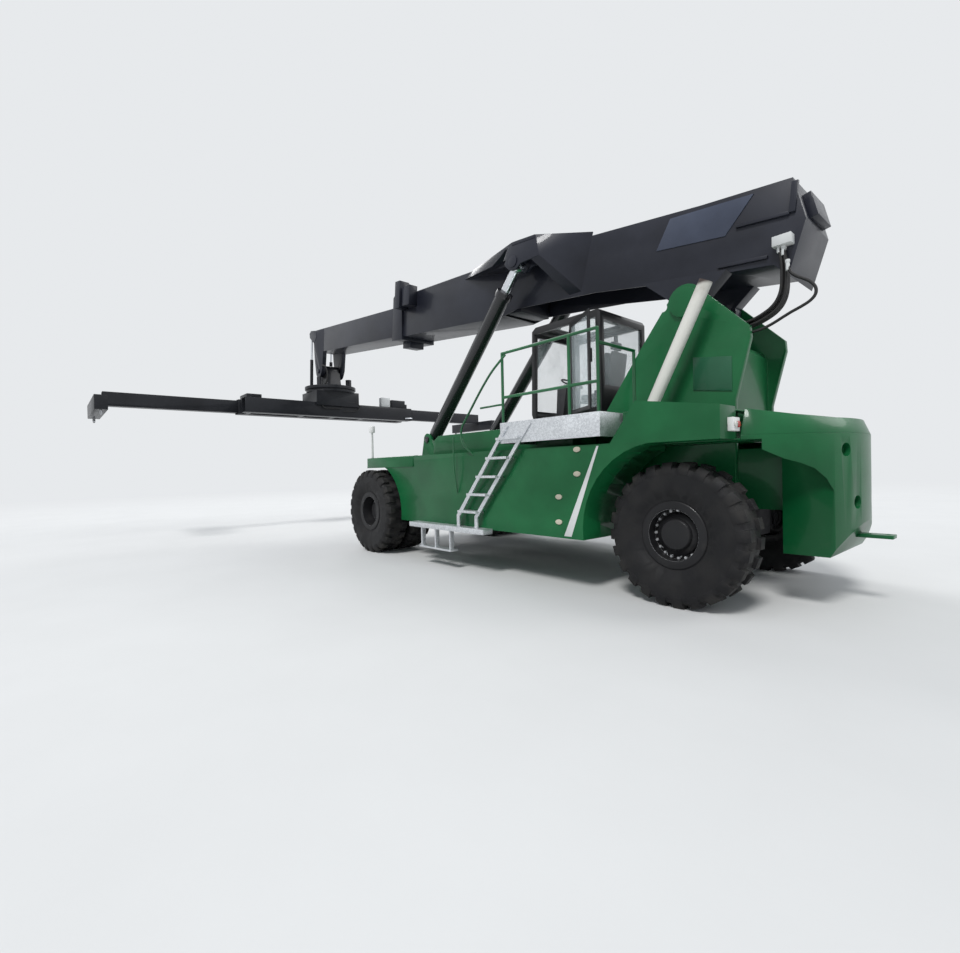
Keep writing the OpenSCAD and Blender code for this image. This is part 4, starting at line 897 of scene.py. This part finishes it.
# Each cushion: name, its centre's x from the rear axle and height over the seat's floor, size, lean in
# degrees, fill
CUSHIONS = (
    ("seat_base", 2.09, 0.325, (0.49, 0.48, 0.125), 0, 0.8),
    ("seat_back", 1.850, 0.715, (0.105, 0.46, 0.60), -10, 0.8),
    ("seat_head", 1.762, 1.110, (0.080, 0.27, 0.15), -6, 0.7),
)


def cushion(name, centre, size, lean):
    """Foam pad: a rounded block that a cloth simulation swells, with two sewn channels pressed in."""
    shape = bmesh.new()
    place = Matrix.Translation(centre) @ Matrix.Rotation(math.radians(lean), 4, "Y")
    core = [length - 2 * CUSHION_SWELL for length in size]
    bmesh.ops.create_cube(shape, size=1, matrix=place @ Matrix.Diagonal((*core, 1)))
    bmesh.ops.bevel(shape, geom=shape.edges[:], offset=min(core) * CUSHION_ROUND, segments=4,
                    affect="EDGES", profile=0.5)
    piece = add_mesh(name, shape)
    only(piece)
    grid = piece.modifiers.new("grid", "REMESH")
    grid.mode = "VOXEL"
    grid.voxel_size = VOXEL
    bpy.ops.object.modifier_apply(modifier="grid")
    rest = [vertex.co.copy() for vertex in piece.data.vertices]
    cloth = piece.modifiers.new("cloth", "CLOTH")
    cloth.settings.use_pressure = True
    cloth.settings.uniform_pressure_force = CUSHION_PRESSURE
    cloth.settings.effector_weights.gravity = 0
    for step in range(1, SIMULATED_FRAMES + 1):
        bpy.context.scene.frame_set(step)
    only(piece)
    bpy.ops.object.modifier_apply(modifier="cloth")
    bpy.context.scene.frame_set(1)
    for vertex, start in zip(piece.data.vertices, rest):
        moved = vertex.co - start
        if moved.length > CUSHION_SWELL:
            vertex.co = start + moved.normalized() * CUSHION_SWELL
    normals = [vertex.normal.copy() for vertex in piece.data.vertices]
    for vertex, normal in zip(piece.data.vertices, normals):
        off = abs(abs(vertex.co.y) - size[1] * CHANNEL_PLACE)
        vertex.co -= normal * CHANNEL_DEPTH * math.exp(-(off / CHANNEL_WIDTH) ** 2)
    finer = piece.modifiers.new("finer", "SUBSURF")
    finer.levels = 1
    finer.render_levels = 1
    bpy.ops.object.modifier_apply(modifier="finer")
    bpy.ops.object.shade_smooth()
    settle(piece, "chassis", fabric)


for name, x, z, size, lean, fill in CUSHIONS:
    cushion(name, spot(x, 0, SEAT_FLOOR + z), size, lean)
BELLOWS_X = 2.055
FOLDS = 5
FOLD_HEIGHT = 0.048
FOLD_HALVES = (0.155, 0.170)
SEAT_PAN = ((1.86, -0.235, SEAT_FLOOR + 0.24), (2.32, 0.235, SEAT_FLOOR + 0.27))
BACK_SHELL = ((1.800, 2.74), (1.830, 2.74), (1.715, 3.44), (1.690, 3.44))
BACK_HALF = 0.21
carrier = []
for fold in range(FOLDS):
    half = FOLD_HALVES[fold % 2]
    foot = SEAT_FLOOR + FOLD_HEIGHT * fold
    low = (BELLOWS_X - half, -half, foot)
    high = (BELLOWS_X + half, half, foot + FOLD_HEIGHT)
    carrier.append(box("fold", low, high))
carrier.append(box("pan", *SEAT_PAN))
carrier.append(slab("shell", BACK_SHELL, -BACK_HALF, BACK_HALF))
settle(assemble("seat_carrier", carrier, 0.008), "chassis", plastic, ("seat",))

# Exhaust: a leaning steel tube under heat-proof off-white paint. It is browned towards its mouth and sooty at
# its rim.
heat_paint = Finish("exhaust_paint")
low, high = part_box("exhaust")
browned = heat_paint.axis("Z").ramp(high.z - 0.5, high.z) * heat_paint.grain(6, 4).ramp(0.3, 0.8)
sooty = heat_paint.axis("Z").ramp(high.z - 0.10, high.z - 0.05)
warm = heat_paint.mix(browned * 0.6, (0.60, 0.59, 0.54, 1), (0.22, 0.19, 0.15, 1))
heat_paint.colour(heat_paint.mix(sooty, warm, (0.035, 0.022, 0.018, 1)))
heat_paint.rough(0.62 + 0.2 * browned)
heat_paint.bump(heat_paint.grain(60, 4), 0.0012)
dress("exhaust", heat_paint, edge=0.003)

# Lamps: work lamps on posts at the front and light clusters at the rear, all in white housings whose gloss is
# a little uneven.
lamp_white = Finish("lamp_white")
lamp_white.colour(lamp_white.mix(lamp_white.grain(20, 3), (0.62, 0.62, 0.60, 1), (0.72, 0.72, 0.70, 1)))
lamp_white.rough(0.3 + 0.2 * lamp_white.grain(9, 3))
dress("lamps", lamp_white, edge=0.004)

# Lenses: a red and a pale disc of moulded plastic stand on each rear cluster, with small optic cells in their
# faces.
LENS_X = -0.709
LENS_Z = 2.03
LENS_RADIUS = 0.034
LENS_THICKNESS = 0.018


def lens(name, colour):
    """Finish of a moulded lens with small optic cells."""
    made = Finish(name, Coat_Weight=0.5, Specular_IOR_Level=0.5)
    cells = made.cells(90)
    made.colour(made.mix(cells, colour, tuple(c * 0.7 for c in colour[:3]) + (1,)))
    made.rough(0.12 + 0.1 * cells)
    made.bump(cells, 0.001)
    return made


# Each lens: name, distance from the machine's middle, finish
LENSES = (
    ("stop", 1.585, lens("red_lens", (0.40, 0.012, 0.010, 1))),
    ("reverse", 1.655, lens("pale_lens", (0.62, 0.62, 0.58, 1))),
)
for side, name in SIDES:
    for kind, distance, finish in LENSES:
        centre = spot(LENS_X, side * distance, LENS_Z)
        disc = drum(kind + "_lens_" + name, centre, (-1, 0, 0), LENS_RADIUS, LENS_THICKNESS)
        break_edges(disc, 0.006)
        settle(disc, "chassis", finish)

# Spreader pipes: two black pipes run behind the main frame, and a chromed one at its right end. A valve box
# and a pale relay box stand on the frame. Each black pipe's line holds a bend, a radius and its points.
BLACK_PIPES = (
    (0.06, 0.016, ((11.87, 0.56, 3.79), (11.86, 0.50, 3.66), (11.86, 0.43, 3.62), (11.86, -0.09, 3.64),
                   (11.89, -0.14, 3.70))),
    (0.12, 0.018, ((11.90, 0.0, 3.825), (11.86, -0.10, 3.835), (11.85, -0.62, 3.853), (11.85, -0.77, 3.72),
                   (11.85, -0.61, 3.58), (11.86, -0.25, 3.56), (11.90, -0.19, 3.554))),
)
SILVER_PIPE = ((11.88, -2.46, 3.45), (11.86, -2.60, 3.46), (11.86, -2.73, 3.465))
SILVER_RADIUS = 0.02
SILVER_BEND = 0.05
VALVE_BOX = ((11.93, -2.50, 3.805), (12.07, -1.96, 4.06))
RELAY_BOX = ((11.95, -1.92, 3.805), (12.10, -1.58, 4.12))
pipes = [tube("pipe", [spot(*point) for point in points], radius, bend)
         for bend, radius, points in BLACK_PIPES]
settle(join("spreader_pipes", pipes), "spreader", hose_rubber)
silver_pipe = tube("silver_pipe", [spot(*point) for point in SILVER_PIPE], SILVER_RADIUS, SILVER_BEND)
settle(silver_pipe, "spreader", chrome)
valve_box = box("valve_box", *VALVE_BOX)
relay_box = box("relay_box", *RELAY_BOX)
for part, finish in ((valve_box, spreader_paint), (relay_box, pale_paint)):
    break_edges(part, 0.015)
    settle(part, "spreader", finish)

# Twistlocks: machined steel locks below the arms' four corners, which turn in a container's castings. Grease
# darkens them in patches.
lock_steel = Finish("lock_steel", Metallic=0.9)
grease = lock_steel.grain(25, 4).ramp(0.4, 0.6)
lock_steel.colour(lock_steel.mix(grease, (0.42, 0.43, 0.45, 1), (0.10, 0.095, 0.085, 1)))
lock_steel.rough(0.28 + 0.3 * grease)
for end in ("front", "rear"):
    for side in ("left", "right"):
        dress("twistlock_" + end + "_" + side, lock_steel, edge=0.002)
